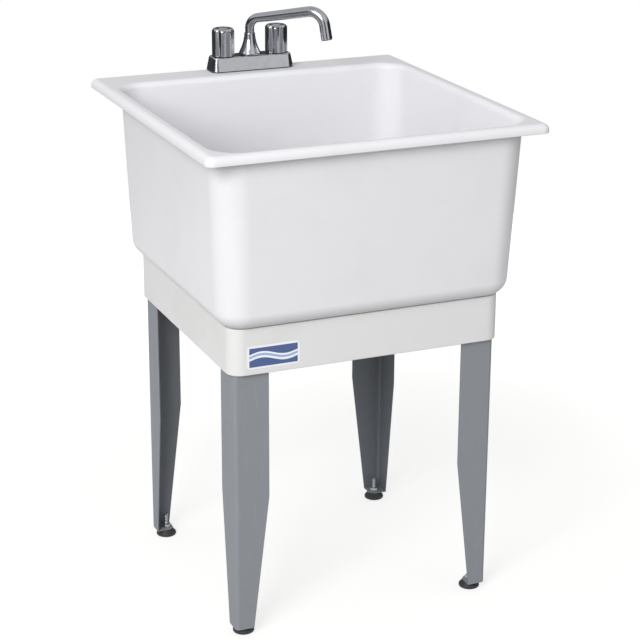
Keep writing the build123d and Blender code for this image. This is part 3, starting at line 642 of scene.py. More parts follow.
def lathe(
    profile: Sequence[Point], centre: Point = (0.0, 0.0), segments: int = 64, closed: bool = False
) -> Skin:
    """Turns a profile round an upright axis.

    Args:
        profile: Radius and height of each point; a radius of 0 closes an end.
        centre: Where the axis stands.
        segments: Stretches round the axis.
        closed: Whether the profile's last point joins its first.

    Returns:
        The turned skin, in millimetres.
    """
    return loft([circle(centre, *point, segments) for point in profile], closed=closed)


def prism(outline: Sequence[Point], bottom: float, top: float) -> Skin:
    """Extrudes a flat outline between two heights, ends filled."""
    rings = [[Vector((x, y, height)) for x, y in outline] for height in (bottom, top)]
    return loft(rings, capped=True)


def joined(*skins: Skin) -> Skin:
    """Puts separate skins into one, and frees them."""
    whole = bmesh.new()
    for skin in skins:
        data = as_mesh("part", skin)
        whole.from_mesh(data)
        bpy.data.meshes.remove(data)
    return whole


def moved(skin: Skin, place: Matrix) -> Skin:
    """Moves a skin to its place."""
    bmesh.ops.transform(skin, matrix=place, verts=skin.verts)
    return skin


def carved(stock: Skin, cutter: Skin) -> Skin:
    """Cuts one closed skin out of another; both are used up."""
    objects = []
    for name, skin in (("stock", stock), ("cutter", cutter)):
        bmesh.ops.remove_doubles(skin, verts=skin.verts, dist=WELD)
        bmesh.ops.recalc_face_normals(skin, faces=skin.faces)
        objects.append(place_in_scene(name, as_mesh(name, skin)))
    cut = objects[0].modifiers.new("recess", "BOOLEAN")
    cut.operation, cut.object, cut.solver = "DIFFERENCE", objects[1], "EXACT"
    skin = settled(objects[0])
    for made in objects:
        bpy.data.objects.remove(made)
    return skin


def solid_copy(node: str) -> Skin:
    """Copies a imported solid's mesh, its loose triangles merged and its flat ones joined."""
    mesh = bmesh.new()
    mesh.from_mesh(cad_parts[node].data)
    bmesh.ops.remove_doubles(mesh, verts=mesh.verts, dist=WELD * MM)
    bmesh.ops.scale(mesh, vec=Vector((1 / MM,) * 3), verts=mesh.verts)
    bmesh.ops.dissolve_limit(mesh, angle_limit=FLAT, verts=mesh.verts, edges=mesh.edges)
    return mesh


def add_piece(
    name: str,
    skin: Skin,
    finish: Finish,
    body: str,
    *stands_for: str,
    crease: float = 35.0,
    bevel: float = 0.0,
) -> bpy.types.Object:
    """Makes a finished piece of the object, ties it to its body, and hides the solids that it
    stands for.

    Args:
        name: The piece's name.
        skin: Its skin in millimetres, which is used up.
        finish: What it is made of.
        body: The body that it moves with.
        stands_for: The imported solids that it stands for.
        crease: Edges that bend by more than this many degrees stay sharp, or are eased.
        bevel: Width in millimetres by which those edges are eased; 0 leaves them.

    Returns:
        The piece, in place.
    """
    bmesh.ops.remove_doubles(skin, verts=skin.verts, dist=WELD)
    bmesh.ops.dissolve_degenerate(skin, dist=WELD / 2, edges=skin.edges)
    bmesh.ops.recalc_face_normals(skin, faces=skin.faces)
    bmesh.ops.scale(skin, vec=Vector((MM,) * 3), verts=skin.verts)
    for face in skin.faces:
        face.smooth = True
    for edge in skin.edges:
        edge.smooth = edge.calc_face_angle(0.0) < math.radians(crease)
    piece = place_in_scene(name, as_mesh(name, skin))
    piece.data.materials.append(finish.material())
    if bevel:
        eased = piece.modifiers.new("eased edges", "BEVEL")
        eased.width, eased.segments = bevel * MM, BEVEL_SEGMENTS
        eased.limit_method, eased.angle_limit = "ANGLE", math.radians(crease)
        eased.miter_outer, eased.harden_normals = "MITER_ARC", True
    even = piece.modifiers.new("even shading", "WEIGHTED_NORMAL")
    even.keep_sharp, even.weight = True, SHADING_WEIGHT
    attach(piece, body)
    if stands_for:
        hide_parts(*stands_for)
    LOG.info("%s: %s, on %s", name, finish.name, body)
    return piece


def refinish(finish: Finish, *nodes: str) -> None:
    """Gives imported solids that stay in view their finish."""
    for node in nodes:
        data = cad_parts[node].data
        data.materials.clear()
        data.materials.append(finish.material())
        LOG.info("%s: packed solid, %s", node, finish.name)


# ---------------------------------------------------------------- rules for what repeats


@dataclass
class GeometryRule:
    """A Geometry Nodes tree with named inputs, used on one object and then made plain."""

    name: str
    tree: Tree = field(init=False)

    def __post_init__(self) -> None:
        """Starts the tree with its geometry input and output."""
        self.tree = bpy.data.node_groups.new(self.name, "GeometryNodeTree")
        for label, way in (("Base", "INPUT"), ("Result", "OUTPUT")):
            self.tree.interface.new_socket(label, in_out=way, socket_type="NodeSocketGeometry")

    def takes(self, **inputs: str) -> list[Socket]:
        """Adds the named inputs.

        Args:
            inputs: Each input's name and the kind of socket it is.

        Returns:
            What the base and each of the inputs hand on.
        """
        for label, kind in inputs.items():
            self.tree.interface.new_socket(label, in_out="INPUT", socket_type=kind)
        return list(add_node(self.tree, "NodeGroupInput").outputs)[: len(inputs) + 1]

    def add(
        self, kind: str, inputs: dict[str | int, object] | None = None, **settings: object
    ) -> Node:
        """Adds one node to the rule's tree, as add_node does."""
        return add_node(self.tree, kind, inputs, **settings)

    def ends(self, geometry: Node, finish: Finish) -> "GeometryRule":
        """Closes the tree: instances made real, the finish set."""
        real = self.add("GeometryNodeRealizeInstances", {"Geometry": geometry})
        smooth = self.add("GeometryNodeSetShadeSmooth", {"Geometry": real})
        painted = {"Geometry": smooth, "Material": finish.material()}
        self.add("NodeGroupOutput", {"Result": self.add("GeometryNodeSetMaterial", painted)})
        return self

    def bake(self, base: Skin | None = None, **values: object) -> Skin:
        """Runs the rule once.

        Args:
            base: What the rule starts from, in millimetres, if anything.
            values: Each named input's value.

        Returns:
            The result as a plain skin, in millimetres.
        """
        data = as_mesh(self.name, base or bmesh.new())
        carrier = place_in_scene(self.name, data)
        modifier = carrier.modifiers.new(self.name, "NODES")
        modifier.node_group = self.tree
        for item in self.tree.interface.items_tree:
            if item.in_out == "INPUT" and item.name in values:
                modifier[item.identifier] = values[item.name]
        skin = settled(carrier)
        bpy.data.objects.remove(carrier)
        bpy.data.meshes.remove(data)
        return skin


def thread_rule(finish: Finish) -> GeometryRule:
    """Makes the rule for a screw thread: one ridge wound round a core.

    Args:
        finish: The thread's finish.

    Returns:
        The rule, which takes Radius, Depth, Pitch, Length, and Core: whether the ridge is
        wound on a solid core of its own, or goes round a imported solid.
    """
    rule = GeometryRule("wound thread")
    _, radius, depth, pitch, length, core = rule.takes(
        Radius=FLOAT, Depth=FLOAT, Pitch=FLOAT, Length=FLOAT, Core="NodeSocketBool"
    )
    turns = rule.add("ShaderNodeMath", {0: length, 1: pitch}, operation="DIVIDE")
    root = rule.add("ShaderNodeMath", {0: radius, 1: depth}, operation="SUBTRACT")
    winding = {
        "Resolution": 32,
        "Rotations": turns,
        "Start Radius": root,
        "End Radius": root,
        "Height": length,
    }
    path = rule.add("GeometryNodeCurveSpiral", winding)
    ridge = rule.add("GeometryNodeCurvePrimitiveCircle", {"Resolution": 4, "Radius": depth})
    swept = {"Curve": path, "Profile Curve": ridge, "Fill Caps": True}
    wound = rule.add("GeometryNodeCurveToMesh", swept)
    rod = {"Vertices": 32, "Radius": root, "Depth": length}
    rod = rule.add("GeometryNodeMeshCylinder", rod, fill_type="NGON")
    middle = rule.add("ShaderNodeMath", {0: length, 1: 0.5}, operation="MULTIPLY")
    lift = rule.add("ShaderNodeCombineXYZ", {"Z": middle})
    raised = rule.add("GeometryNodeTransform", {"Geometry": rod, "Translation": lift})
    whole = rule.add("GeometryNodeJoinGeometry", {"Geometry": wound})
    feed(rule.tree, whole, {"Geometry": raised})
    choice = {"Switch": core, "False": wound, "True": whole}
    return rule.ends(rule.add("GeometryNodeSwitch", choice, input_type="GEOMETRY"), finish)


@dataclass(frozen=True)
class Thread:
    """One screw thread: its radius over the ridge and the rest of its size, in millimetres."""

    radius: float
    depth: float
    pitch: float
    bottom: float
    length: float

    def wound(self, rule: GeometryRule, centre: Point, core: bool = False) -> Skin:
        """Bakes the thread where it belongs.

        Args:
            rule: The thread rule.
            centre: Where its axis stands.
            core: Whether it has a solid core of its own.

        Returns:
            The thread's skin.
        """
        skin = rule.bake(
            Radius=self.radius, Depth=self.depth, Pitch=self.pitch, Length=self.length, Core=core
        )
        return moved(skin, Matrix.Translation((*centre, self.bottom)))


def round_rule(finish: Finish) -> GeometryRule:
    """Makes the rule for ribs stood in a ring, such as a knurl or the grips of a pad.

    Args:
        finish: The ribs' finish.

    Returns:
        The rule, which takes Count, Radius, Rib, Height and Bottom.
    """
    rule = GeometryRule("ring of ribs")
    _, count, radius, rib, height, bottom = rule.takes(
        Count="NodeSocketInt", Radius=FLOAT, Rib=FLOAT, Height=FLOAT, Bottom=FLOAT
    )
    ring = rule.add("GeometryNodeMeshCircle", {"Vertices": count, "Radius": radius})
    middle = {0: height, 1: 0.5, 2: bottom}
    middle = rule.add("ShaderNodeMath", middle, operation="MULTIPLY_ADD")
    lift = rule.add("ShaderNodeCombineXYZ", {"Z": middle})
    placed = rule.add("GeometryNodeSetPosition", {"Geometry": ring, "Offset": lift})
    rod = {"Vertices": 10, "Radius": rib, "Depth": height}
    rod = rule.add("GeometryNodeMeshCylinder", rod, fill_type="NGON")
    stood = rule.add("GeometryNodeInstanceOnPoints", {"Points": placed, "Instance": rod})
    return rule.ends(stood, finish)


@dataclass(frozen=True)
class Ribs:
    """Upright ribs in a ring: how many, and their size and place in millimetres."""

    count: int
    radius: float
    rib: float
    height: float
    bottom: float

    def stood(self, rule: GeometryRule, place: Matrix) -> Skin:
        """Bakes the ring with the rule for ribs, and moves it to its place."""
        values = {name.capitalize(): value for name, value in vars(self).items()}
        return moved(rule.bake(**values), place)


def stud_rule(finish: Finish) -> GeometryRule:
    """Makes the rule that stands one shape on every point, turned the way the point faces.

    Args:
        finish: The shapes' finish.

    Returns:
        The rule, which takes Shape, and a base whose points have a "facing" direction.
    """
    rule = GeometryRule("shapes on points")
    base, shape = rule.takes(Shape="NodeSocketObject")
    pattern = rule.add("GeometryNodeObjectInfo", {"Object": shape}).outputs["Geometry"]
    facing = {"Name": "facing"}
    facing = rule.add("GeometryNodeInputNamedAttribute", facing, data_type="FLOAT_VECTOR")
    turn = rule.add("FunctionNodeAlignRotationToVector", {"Vector": facing}, axis="Z")
    standing = {"Points": base, "Instance": pattern, "Rotation": turn}
    return rule.ends(rule.add("GeometryNodeInstanceOnPoints", standing), finish)


def tube_rule(finish: Finish) -> GeometryRule:
    """Makes the rule for a round tube along a line, widening steadily.

    Args:
        finish: The tube's finish.

    Returns:
        The rule, which takes Root and Tip, its radius at each end, and the line as its base.
    """
    rule = GeometryRule("widening tube")
    base, root, tip = rule.takes(Root=FLOAT, Tip=FLOAT)
    line = rule.add("GeometryNodeMeshToCurve", {"Mesh": base})
    along = rule.add("GeometryNodeSplineParameter").outputs["Factor"]
    width = rule.add("ShaderNodeMapRange", {"Value": along, "To Min": root, "To Max": tip})
    ring = rule.add("GeometryNodeCurvePrimitiveCircle", {"Resolution": 48, "Radius": 1.0})
    swept = {"Curve": line, "Profile Curve": ring, "Scale": width, "Fill Caps": True}
    return rule.ends(rule.add("GeometryNodeCurveToMesh", swept), finish)


# ---------------------------------------------------------------- tub and skirt


@dataclass
class Tub:
    """The moulded tub: rim with a turned-down lip, leaning walls, shoulder and lower bowl."""

    rim: Outline = Outline(292.0, -304.0, 304.0, 14.0)
    wall_at_rim: Outline = Outline(269.0, -285.0, 232.5, 50.0)
    wall_at_shoulder: Outline = Outline(256.0, -270.0, 227.0, 46.0)
    bowl: Outline = Outline(223.0, -235.0, 188.0, 34.0)
    wall: float = 4.0
    rim_top: float = 840.0
    rim_thickness: float = 4.0
    rim_edge_radius: float = 11.0
    rim_inner_radius: float = 5.5
    lip_bottom: float = 825.0
    lip_thickness: float = 3.5
    lip_edge_radius: float = 1.0
    basin_edge_radius: float = 10.0
    under_rim_radius: float = 9.0
    shoulder: float = 544.0
    shoulder_radius: float = 28.0
    bowl_lean: float = 3.0
    bowl_edge_radius: float = 18.0
    bowl_mouth_radius: float = 7.0
    floor_top: float = 490.0
    floor_underside: float = 482.0
    drain_y: float = -23.5
    drain_radius: float = 26.0
    seat_radius: float = 40.0
    seat: float = 486.0
    dish_radius: float = 150.0

    def round_at(self, radius: float) -> Outline:
        """Gives a circle round the drain."""
        return Outline(radius, self.drain_y - radius, self.drain_y + radius, radius)

    def wall_outside(self, height: float) -> Outline:
        """Gives the wall's outer outline at a height."""
        rise = self.rim_top - self.rim_thickness - self.shoulder
        return self.wall_at_shoulder.toward(self.wall_at_rim, (height - self.shoulder) / rise)

    def wall_inside(self, height: float) -> Outline:
        """Gives the wall's inner outline at a height."""
        low = self.shoulder + self.wall
        share = (height - low) / (self.rim_top - low)
        foot, head = self.wall_at_shoulder.inset(self.wall), self.wall_at_rim.inset(self.wall)
        return foot.toward(head, share)

    def bowl_outside(self, height: float) -> Outline:
        """Gives the lower bowl's outer outline at a height."""
        lean, bowl = self.bowl_lean, self.bowl
        foot = Outline(bowl.half - lean, bowl.front + lean, bowl.rear - lean, bowl.radius)
        rise = self.shoulder + self.wall / 2 - self.floor_underside
        return foot.toward(bowl, (height - self.floor_underside) / rise)

    def bowl_inside(self, height: float) -> Outline:
        """Gives the lower bowl's inner outline at a height."""
        return self.bowl_outside(height).inset(self.wall)

    def inside(self) -> list[list[Vector]]:
        """Gives the rings of the inner skin, from the drain's hole up to the rim."""
        low, shelf, seat = self.floor_top, self.shoulder + self.wall, self.seat
        corner, mouth = self.bowl_edge_radius - self.wall, self.bowl_mouth_radius
        floor = (
            (self.drain_radius, self.floor_underside),
            (self.drain_radius, seat),
            (self.seat_radius, seat),
            ((self.seat_radius + self.dish_radius) / 2, (seat + low) / 2),
            (self.dish_radius, low),
        )
        rings = [self.round_at(radius).ring(up) for radius, up in floor]
        rings.append(self.bowl_inside(low).inset(corner + 3).ring(low))
        path = [(corner + 1, low, 0), (0, low, corner), (0, shelf, mouth), (-mouth - 1, shelf, 0)]
        rings += rings_along(self.bowl_inside, path, 8)[1:-1]
        foot, edge = self.shoulder_radius - self.wall, self.basin_edge_radius
        path = [
            (foot + 1, shelf, 0),
            (0, shelf, foot),
            (0, self.rim_top, edge),
            (-edge - 1, self.rim_top, 0),
        ]
        return rings + rings_along(self.wall_inside, path, 12)[1:-1]

    def rim_and_lip(self) -> list[list[Vector]]:
        """Gives the rings over the rim's edge, round the lip and in under the rim."""
        under, lip = self.rim_top - self.rim_thickness, self.lip_bottom
        thick, inner = self.lip_thickness, self.rim_inner_radius
        path = [
            (self.rim_edge_radius + 0.2, self.rim_top, 0),
            (0, self.rim_top, self.rim_edge_radius),
            (0, lip, self.lip_edge_radius),
            (thick, lip, self.lip_edge_radius),
            (thick, under, inner),
            (thick + inner + 0.2, under, 0),
        ]
        return rings_along(lambda _: self.rim, path, 5)[:-1]

    def outside(self) -> list[list[Vector]]:
        """Gives the rings of the outer skin, from under the rim down to the drain's hole."""
        under, root = self.rim_top - self.rim_thickness, self.under_rim_radius
        path = [
            (-root - 0.2, under, 0),
            (0, under, root),
            (0, self.shoulder, self.shoulder_radius),
            (self.shoulder_radius + 0.5, self.shoulder, 0),
        ]
        rings = rings_along(self.wall_outside, path, 10)[1:-1]
        low, corner = self.floor_underside, self.bowl_edge_radius
        path = [(0, self.shoulder, 0), (0, low, corner), (corner + 1, low, 0)]
        return rings + rings_along(self.bowl_outside, path, 8)[:-1]

    def build(self) -> None:
        """Makes the tub as one closed skin."""
        skin = loft(self.inside() + self.rim_and_lip() + self.outside(), closed=True)
        add_piece("tub_shell", skin, TUB_PLASTIC, "sink", "tub", crease=50.0)


@dataclass
class Skirt:
    """The base skirt: one thin wall with rounded edges, a shelf on top and four corner pads."""

    outer: Outline = Outline(240.0, -252.0, 205.0, 25.0)
    mouth: Outline = Outline(225.0, -237.0, 190.0, 36.0)
    bottom: float = 466.0
    top: float = 544.0
    wall: float = 4.5
    edge_radius: float = 1.5
    inner_edge_radius: float = 0.6
    shelf: float = 4.0
    shelf_radius: float = 2.0
    shelf_reach: float = 9.0
    pad: float = 8.0
    pad_length: float = 70.0
    pad_edge_radius: float = 0.8
    pad_sunk: float = 0.5
    fold_radius: float = 7.0

    def shell(self) -> Skin:
        """Makes the wall and its shelf as one closed skin."""
        under, wall, small = self.top - self.shelf, self.wall, self.inner_edge_radius
        outside = [
            (wall, self.bottom, small),
            (0, self.bottom, self.edge_radius),
            (0, self.top, self.edge_radius),
            (self.shelf, self.top, 0),
        ]
        inside = [
            (self.shelf_reach, under, 0),
            (wall, under, self.shelf_radius),
            (wall, self.bottom, small),
            (0, self.bottom, 0),
        ]
        rings = rings_along(lambda _: self.outer, outside, 4)[1:]
        rings += [self.mouth.ring(self.top), self.mouth.ring(under)]
        rings += rings_along(lambda _: self.outer, inside, 4)[:-1]
        return loft(rings, closed=True)

    def corner_pads(self) -> Skin:
        """Makes the thicker corners that the legs are screwed to."""
        sunk, pad, length = self.wall - self.pad_sunk, self.pad, self.pad_length
        corners = [
            (sunk, sunk, self.outer.radius - sunk),
            (sunk, length, 0),
            (pad, length, self.pad_edge_radius),
            (pad, pad, self.fold_radius),
            (length, pad, self.pad_edge_radius),
            (length, sunk, 0),
        ]
        path = rounded_path(corners, 8, closed=True)
        low, high = self.bottom + self.inner_edge_radius, self.top - self.shelf
        pads = []
        for side in (-1, 1):
            for end, edge in ((-1, self.outer.front), (1, self.outer.rear)):
                outline = [(side * (self.outer.half - x), edge - end * y) for x, y in path]
                pads.append(prism(outline, low, high))
        return joined(*pads)

    def build(self) -> None:
        """Makes the skirt, and gives its decal the printed film."""
        skin = joined(self.shell(), self.corner_pads())
        add_piece("skirt_shell", skin, SKIRT_PLASTIC, "sink", "base_skirt", crease=50.0)
        low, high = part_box("skirt_decal")
        film = PrintedFilm(
            "printed vinyl film",
            "#EDEEF0",
            0.3,
            centre_mm=((low.x + high.x) / 2 / MM, (low.z + high.z) / 2 / MM),
            half_size_mm=((high.x - low.x) / 2 / MM, (high.z - low.z) / 2 / MM),
        )
        refinish(film, "skirt_decal")


# ---------------------------------------------------------------- legs and feet


@dataclass
class Legs:
    """Four folded sheet legs, their screws, and the levelling feet under them."""

    corners: tuple[str, ...] = ("front_left", "front_right", "rear_left", "rear_right")
    sheet: float = 1.6
    sheet_edge: float = 0.35
    facing_inward: float = 0.5
    pad_radius: float = 17.5
    pad_rim: float = 5.0
    pad_top: float = 11.7
    hub_radius: float = 11.0
    stud: Thread = Thread(radius=4.0, depth=0.55, pitch=1.25, bottom=4.4, length=35.1)
    socket_gap: float = 0.4
    socket_depth: float = 1.5
    grips: Ribs = Ribs(count=28, radius=17.1, rib=0.9, height=3.4, bottom=0.9)
    screw_height: float = 490.0
    screw_from_fold: float = 36.0
    head_radius: float = 4.2
    head_height: float = 2.4
    recess_reach: float = 0.62
    recess_half_width: float = 0.55
    recess_depth: float = 1.1

    def outward(self, corner: str) -> tuple[int, int]:
        """Gives the signs of x and y at a corner of the sink."""
        return (1 if "right" in corner else -1), (1 if "rear" in corner else -1)

    def build_leg(self, corner: str) -> None:
        """Makes a leg from its solid, cut edges eased, with painted shade on the faces inside the
        fold.
        """
        node = f"leg_{corner}"
        skin, edge = solid_copy(node), self.sheet_edge
        leg = add_piece(f"{node}_enamelled", skin, LEG_ENAMEL, "sink", node, bevel=edge)
        leg.data.materials.append(LEG_INSIDE_SHADE.material())
        inward = -Vector((*self.outward(corner), 0.0))
        for face in leg.data.polygons:
            # faces turned in toward the sink get the darker enamel: painted shade
            face.material_index = int(face.normal.dot(inward) > self.facing_inward)

    def build_foot(self, corner: str, thread: GeometryRule, ribs: GeometryRule) -> None:
        """Makes a foot's pad with its grip ribs, and its threaded stud.

        Args:
            corner: The sink's corner that it stands under.
            thread: The rule for its thread.
            ribs: The rule for its grip ribs.
        """
        low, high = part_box(f"foot_pad_{corner}")
        x, y = (low.x + high.x) / 2 / MM, (low.y + high.y) / 2 / MM
        wall, top, socket = self.pad_radius, self.pad_top, self.stud.radius
        profile = [
            (0, 0, 0),
            (wall, 0, 1.0),
            (wall, self.pad_rim, 0.8),
            (self.hub_radius, top, 1.2),
            (socket + self.socket_gap, top, 0.5),
            (socket - self.socket_gap, top - self.socket_depth, 0),
            (0, top - self.socket_depth, 0),
        ]
        grips = self.grips.stood(ribs, Matrix.Translation((x, y, 0)))
        pad = joined(grips, lathe(rounded_path(profile, 4), (x, y), 56))
        body = f"foot_{corner}"
        add_piece(f"glide_{corner}", pad, BLACK_NYLON, body, f"foot_pad_{corner}")
        screw = self.stud.wound(thread, (x, y), core=True)
        add_piece(f"stud_{corner}", screw, ZINC, body, f"foot_stud_{corner}")

    def screw_head(self) -> Skin:
        """Makes one pan head with a cross recess."""
        radius, height, width = self.head_radius, self.head_height, self.recess_half_width
        profile = [
            (0, height, 0),
            (radius * 0.7, height, 3.0),
            (radius, height * 0.45, 0.6),
            (radius, 0, 0.2),
            (0, 0, 0),
        ]
        arm = radius * self.recess_reach
        quarter, cross = [(arm, -width), (arm, width), (width, width)], []
        for _ in range(4):  # the same quarter, turned a right angle each time
            cross += quarter
            quarter = [(-y, x) for x, y in quarter]
        cutter = prism(cross, height - self.recess_depth, height + 1)
        return carved(lathe(rounded_path(profile, 3), segments=24), cutter)

    def build_screws(self) -> None:
        """Stands one head at each screw hole, on the inner faces of the legs."""
        spots = bmesh.new()
        facing = spots.verts.layers.float_vector.new("facing")
        across, along = self.screw_from_fold, self.sheet
        for corner in self.corners:
            low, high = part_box(f"leg_{corner}")
            side, end = self.outward(corner)
            x = (high.x if side > 0 else low.x) / MM
            y = (high.y if end > 0 else low.y) / MM
            for place, way in (
                ((x - side * across, y - end * along), (0, -end, 0)),
                ((x - side * along, y - end * across), (-side, 0, 0)),
            ):
                spots.verts.new((*place, self.screw_height))[facing] = Vector(way)
        head = self.screw_head()
        bmesh.ops.recalc_face_normals(head, faces=head.faces)
        pattern = place_in_scene("pan head", as_mesh("pan head", head))
        heads = stud_rule(ZINC).bake(base=spots, Shape=pattern)
        bpy.data.objects.remove(pattern)
        add_piece("leg_screw_heads", heads, ZINC, "sink", "leg_screws", crease=40.0)

    def build(self) -> None:
        """Makes legs, feet and screws."""
        for corner in self.corners:
            self.build_leg(corner)
        thread, ribs = thread_rule(ZINC), round_rule(BLACK_NYLON)
        for corner in self.corners:
            self.build_foot(corner, thread, ribs)
        nuts = solid_copy("foot_nuts")
        add_piece("foot_lock_nuts", nuts, ZINC, "sink", "foot_nuts", bevel=0.5)
        self.build_screws()


# ---------------------------------------------------------------- drain


@dataclass
class Drain:
    """Strainer, nuts and tailpiece under the floor, and the stopper that lifts out."""

    centre: Point = (0.0, -23.5)
    stopper_rest: float = 489.3
    plug_radius: float = 19.5
    plug_depth: float = 9.0
    plug_taper: float = 2.5
    flange_radius: float = 27.0
    flange_thickness: float = 3.0
    groove: Point = (13.0, 23.0)
    groove_slope: float = 1.0
    groove_depth: float = 0.8
    knob_radius: float = 6.0
    knob_bottom: float = 496.3
    knob_top: float = 509.3
    neck_radius: float = 3.0
    tail_radius: float = 19.05
    tail_wall: float = 1.2
    tail_bottom: float = 386.0
    tail_top: float = 442.0
    tail_flange_radius: float = 23.0
    tail_flange: float = 1.5
    tail_sleeve: float = 6.0
    tail_sleeve_proud: float = 0.2
    thread: Thread = Thread(radius=25.75, depth=0.8, pitch=2.2, bottom=455.8, length=11.4)

    def build_stopper(self) -> None:
        """Makes the rubber stopper and the pull that is pressed into it."""
        rest, top = self.stopper_rest, self.stopper_rest + self.flange_thickness
        foot, plug, rim = rest - self.plug_depth, self.plug_radius, self.flange_radius
        neck, low = self.neck_radius, top - self.groove_depth
        (inner, outer), slope = self.groove, self.groove_slope
        profile = [
            (0, foot, 0),
            (plug - self.plug_taper, foot, 1.0),
            (plug, foot + self.plug_taper, 1.0),
            (plug, rest, 0.6),
            (rim, rest, 0.3),
            (rim, top, 1.0),
            (outer, top, 0.6),
            (outer - slope, low, 0.6),
            (inner + slope, low, 0.6),
            (inner, top, 0.6),
            (neck, top, 0),
            (0, top, 0),
        ]
        skin = lathe(rounded_path(profile, 4), self.centre, 72)
        add_piece("stopper_rubber", skin, RUBBER, "drain_stopper", "stopper")
        low, high, wide = self.knob_bottom, self.knob_top, self.knob_radius
        profile = [
            (0, rest, 0),
            (neck + 1.6, top - 0.2, 0),
            (neck + 1.6, top + 0.6, 0.3),
            (neck - 0.6, top + 1.4, 0.8),
            (neck - 0.6, low - 0.4, 0.6),
            (wide, low + 0.6, 1.2),
            (wide - 0.9, (low + high) / 2, 3.5),
            (wide, high - 3.4, 1.5),
            (wide - 1.2, high, 1.4),
            (0, high, 0),
        ]
        skin = lathe(rounded_path(profile, 5), self.centre, 48)
        add_piece("stopper_knob", skin, CHROME, "drain_stopper", "stopper_pull", crease=50.0)

    def build_waste(self) -> None:
        """Makes the tailpiece, the nuts and the strainer's thread."""
        tail, proud = self.tail_radius, self.tail_sleeve_proud
        bore = tail - self.tail_wall
        flange, wide = self.tail_top - self.tail_flange, self.tail_flange_radius
        sleeve = flange - self.tail_sleeve
        profile = [
            (bore, self.tail_bottom, 0.4),
            (tail, self.tail_bottom, 0.4),
            (tail, sleeve, 0.2),
            (tail + proud, sleeve + 2 * proud, 0),
            (tail + proud, flange, 0.3),
            (wide, flange, 0.3),
            (wide, self.tail_top, 0.3),
            (bore, self.tail_top, 0.4),
        ]
        skin = lathe(rounded_path(profile, 3, closed=True), self.centre, 72, closed=True)
        add_piece("waste_tailpiece", skin, WHITE_PVC, "sink", "drain_tailpiece")
        for name, node, finish, bevel in (
            ("tailpiece_slip_nut", "tailpiece_nut", WHITE_PVC, 0.6),
            ("strainer_locknut", "drain_locknut", BLACK_NYLON, 1.0),
        ):
            add_piece(name, solid_copy(node), finish, "sink", node, bevel=bevel)
        thread = self.thread.wound(thread_rule(STAINLESS), self.centre)
        add_piece("strainer_thread", thread, STAINLESS, "sink")

    def build(self) -> None:
        """Makes the drain, and gives its plain solids their finishes."""
        self.build_stopper()
        self.build_waste()
        refinish(STAINLESS, "drain_strainer")
        refinish(RUBBER, "drain_gasket", "tailpiece_washer")


# ---------------------------------------------------------------- faucet


@dataclass
class Handle:
    """One fluted handle with the cap that marks it hot or cold."""

    prefix: str
    x: float
    dot: str
    y: float = 277.0
    bottom: float = 867.0
    top: float = 916.0
    radius: float = 20.0
    bore: float = 15.6
    hollow: float = 6.0
    flutes: int = 8
    flute_radius: float = 8.0
    flute_depth: float = 2.2
    flute_ease: float = 1.6
    bottom_round: float = 0.9
    top_round: float = 6.0
    cap_radius: float = 8.5
    cap_depth: float = 3.8
    cap_fit: float = 0.1
    samples: int = 28

    def reach(self, angle: float, inset: float) -> float:
        """Gives the handle's radius in one direction.

        Args:
            angle: The direction, in radians.
            inset: How far the plain round part is drawn in there.

        Returns:
            The radius, with the meeting of flute and round eased.
        """
        pitch = 2 * math.pi / self.flutes
        away = (angle + pitch / 2) % pitch - pitch / 2
        centre = self.radius + self.flute_radius - self.flute_depth
        chord = self.flute_radius**2 - (centre * math.sin(away)) ** 2
        plain, ease = self.radius - inset, self.flute_ease
        if chord <= 0:
            return plain
        cut = centre * math.cos(away) - math.sqrt(chord)
        meet = max(ease - abs(plain - cut), 0.0) / ease
        return min(plain, cut) - meet * meet * ease / 4

    def fluted_ring(self, inset: float, height: float) -> list[Vector]:
        """Gives one ring of the fluted skin."""
        count = self.flutes * self.samples
        ring = []
        for angle in (2 * math.pi * place / count for place in range(count)):
            reach = self.reach(angle, inset)
            x, y = self.x + reach * math.cos(angle), self.y + reach * math.sin(angle)
            ring.append(Vector((x, y, height)))
        return ring

    def plain_ring(self, radius: float, height: float) -> list[Vector]:
        """Gives a round ring with as many points as a fluted one."""
        return circle((self.x, self.y), radius, height, self.flutes * self.samples)

    def build(self) -> None:
        """Makes the handle and its cap, and finishes the stem and screw inside."""
        name, top, low, cap = self.prefix, self.top, self.bottom, self.cap_radius
        body, seat, fit = f"{name}_valve", top - self.cap_depth, cap - self.cap_fit
        rounding, mouth = self.top_round, cap + self.cap_fit
        side = [(4.0, low, 0), (0, low, self.bottom_round), (0, top, rounding)]
        side = rounded_path([*side, (rounding + 0.5, top, 0)], 8)
        inside = ((self.bore, low + self.hollow), (self.bore, low + 0.3))
        well = ((cap + 1.4, top), (cap + 0.5, top - 0.4), (mouth, top - 1.2), (mouth, seat))
        rings = [self.plain_ring(radius, height) for radius, height in inside]
        rings += [self.fluted_ring(inset, height) for inset, height in side]
        rings += [self.plain_ring(radius, height) for radius, height in well]
        skin = loft(rings, capped=True)
        add_piece(f"{name}_fluted_handle", skin, CHROME, body, f"{name}_handle", crease=55.0)
        finish = IndexCap(
            f"chrome cap, {name} dot",
            CHROME.colour,
            0.1,
            "index_cap",
            tarnish=CHROME.tarnish,
            mark_depth_mm=CHROME.mark_depth_mm,
            dot=self.dot,
            centre_mm=(self.x, self.y),
        )
        dome = [
            (0, top + 0.7, 0),
            (cap * 0.55, top + 0.5, 12.0),
            (fit, top - 0.3, 0.7),
            (fit, seat + 0.1, 0),
            (0, seat + 0.1, 0),
        ]
        skin = lathe(rounded_path(dome, 6), (self.x, self.y), 48)
        add_piece(f"{name}_cap", skin, finish, body, f"{name}_index_button")
        refinish(BRASS, f"{name}_stem", f"{name}_bonnet_nut")
        refinish(STAINLESS, f"{name}_handle_screw")
        refinish(WHITE_PVC, f"{name}_cartridge")


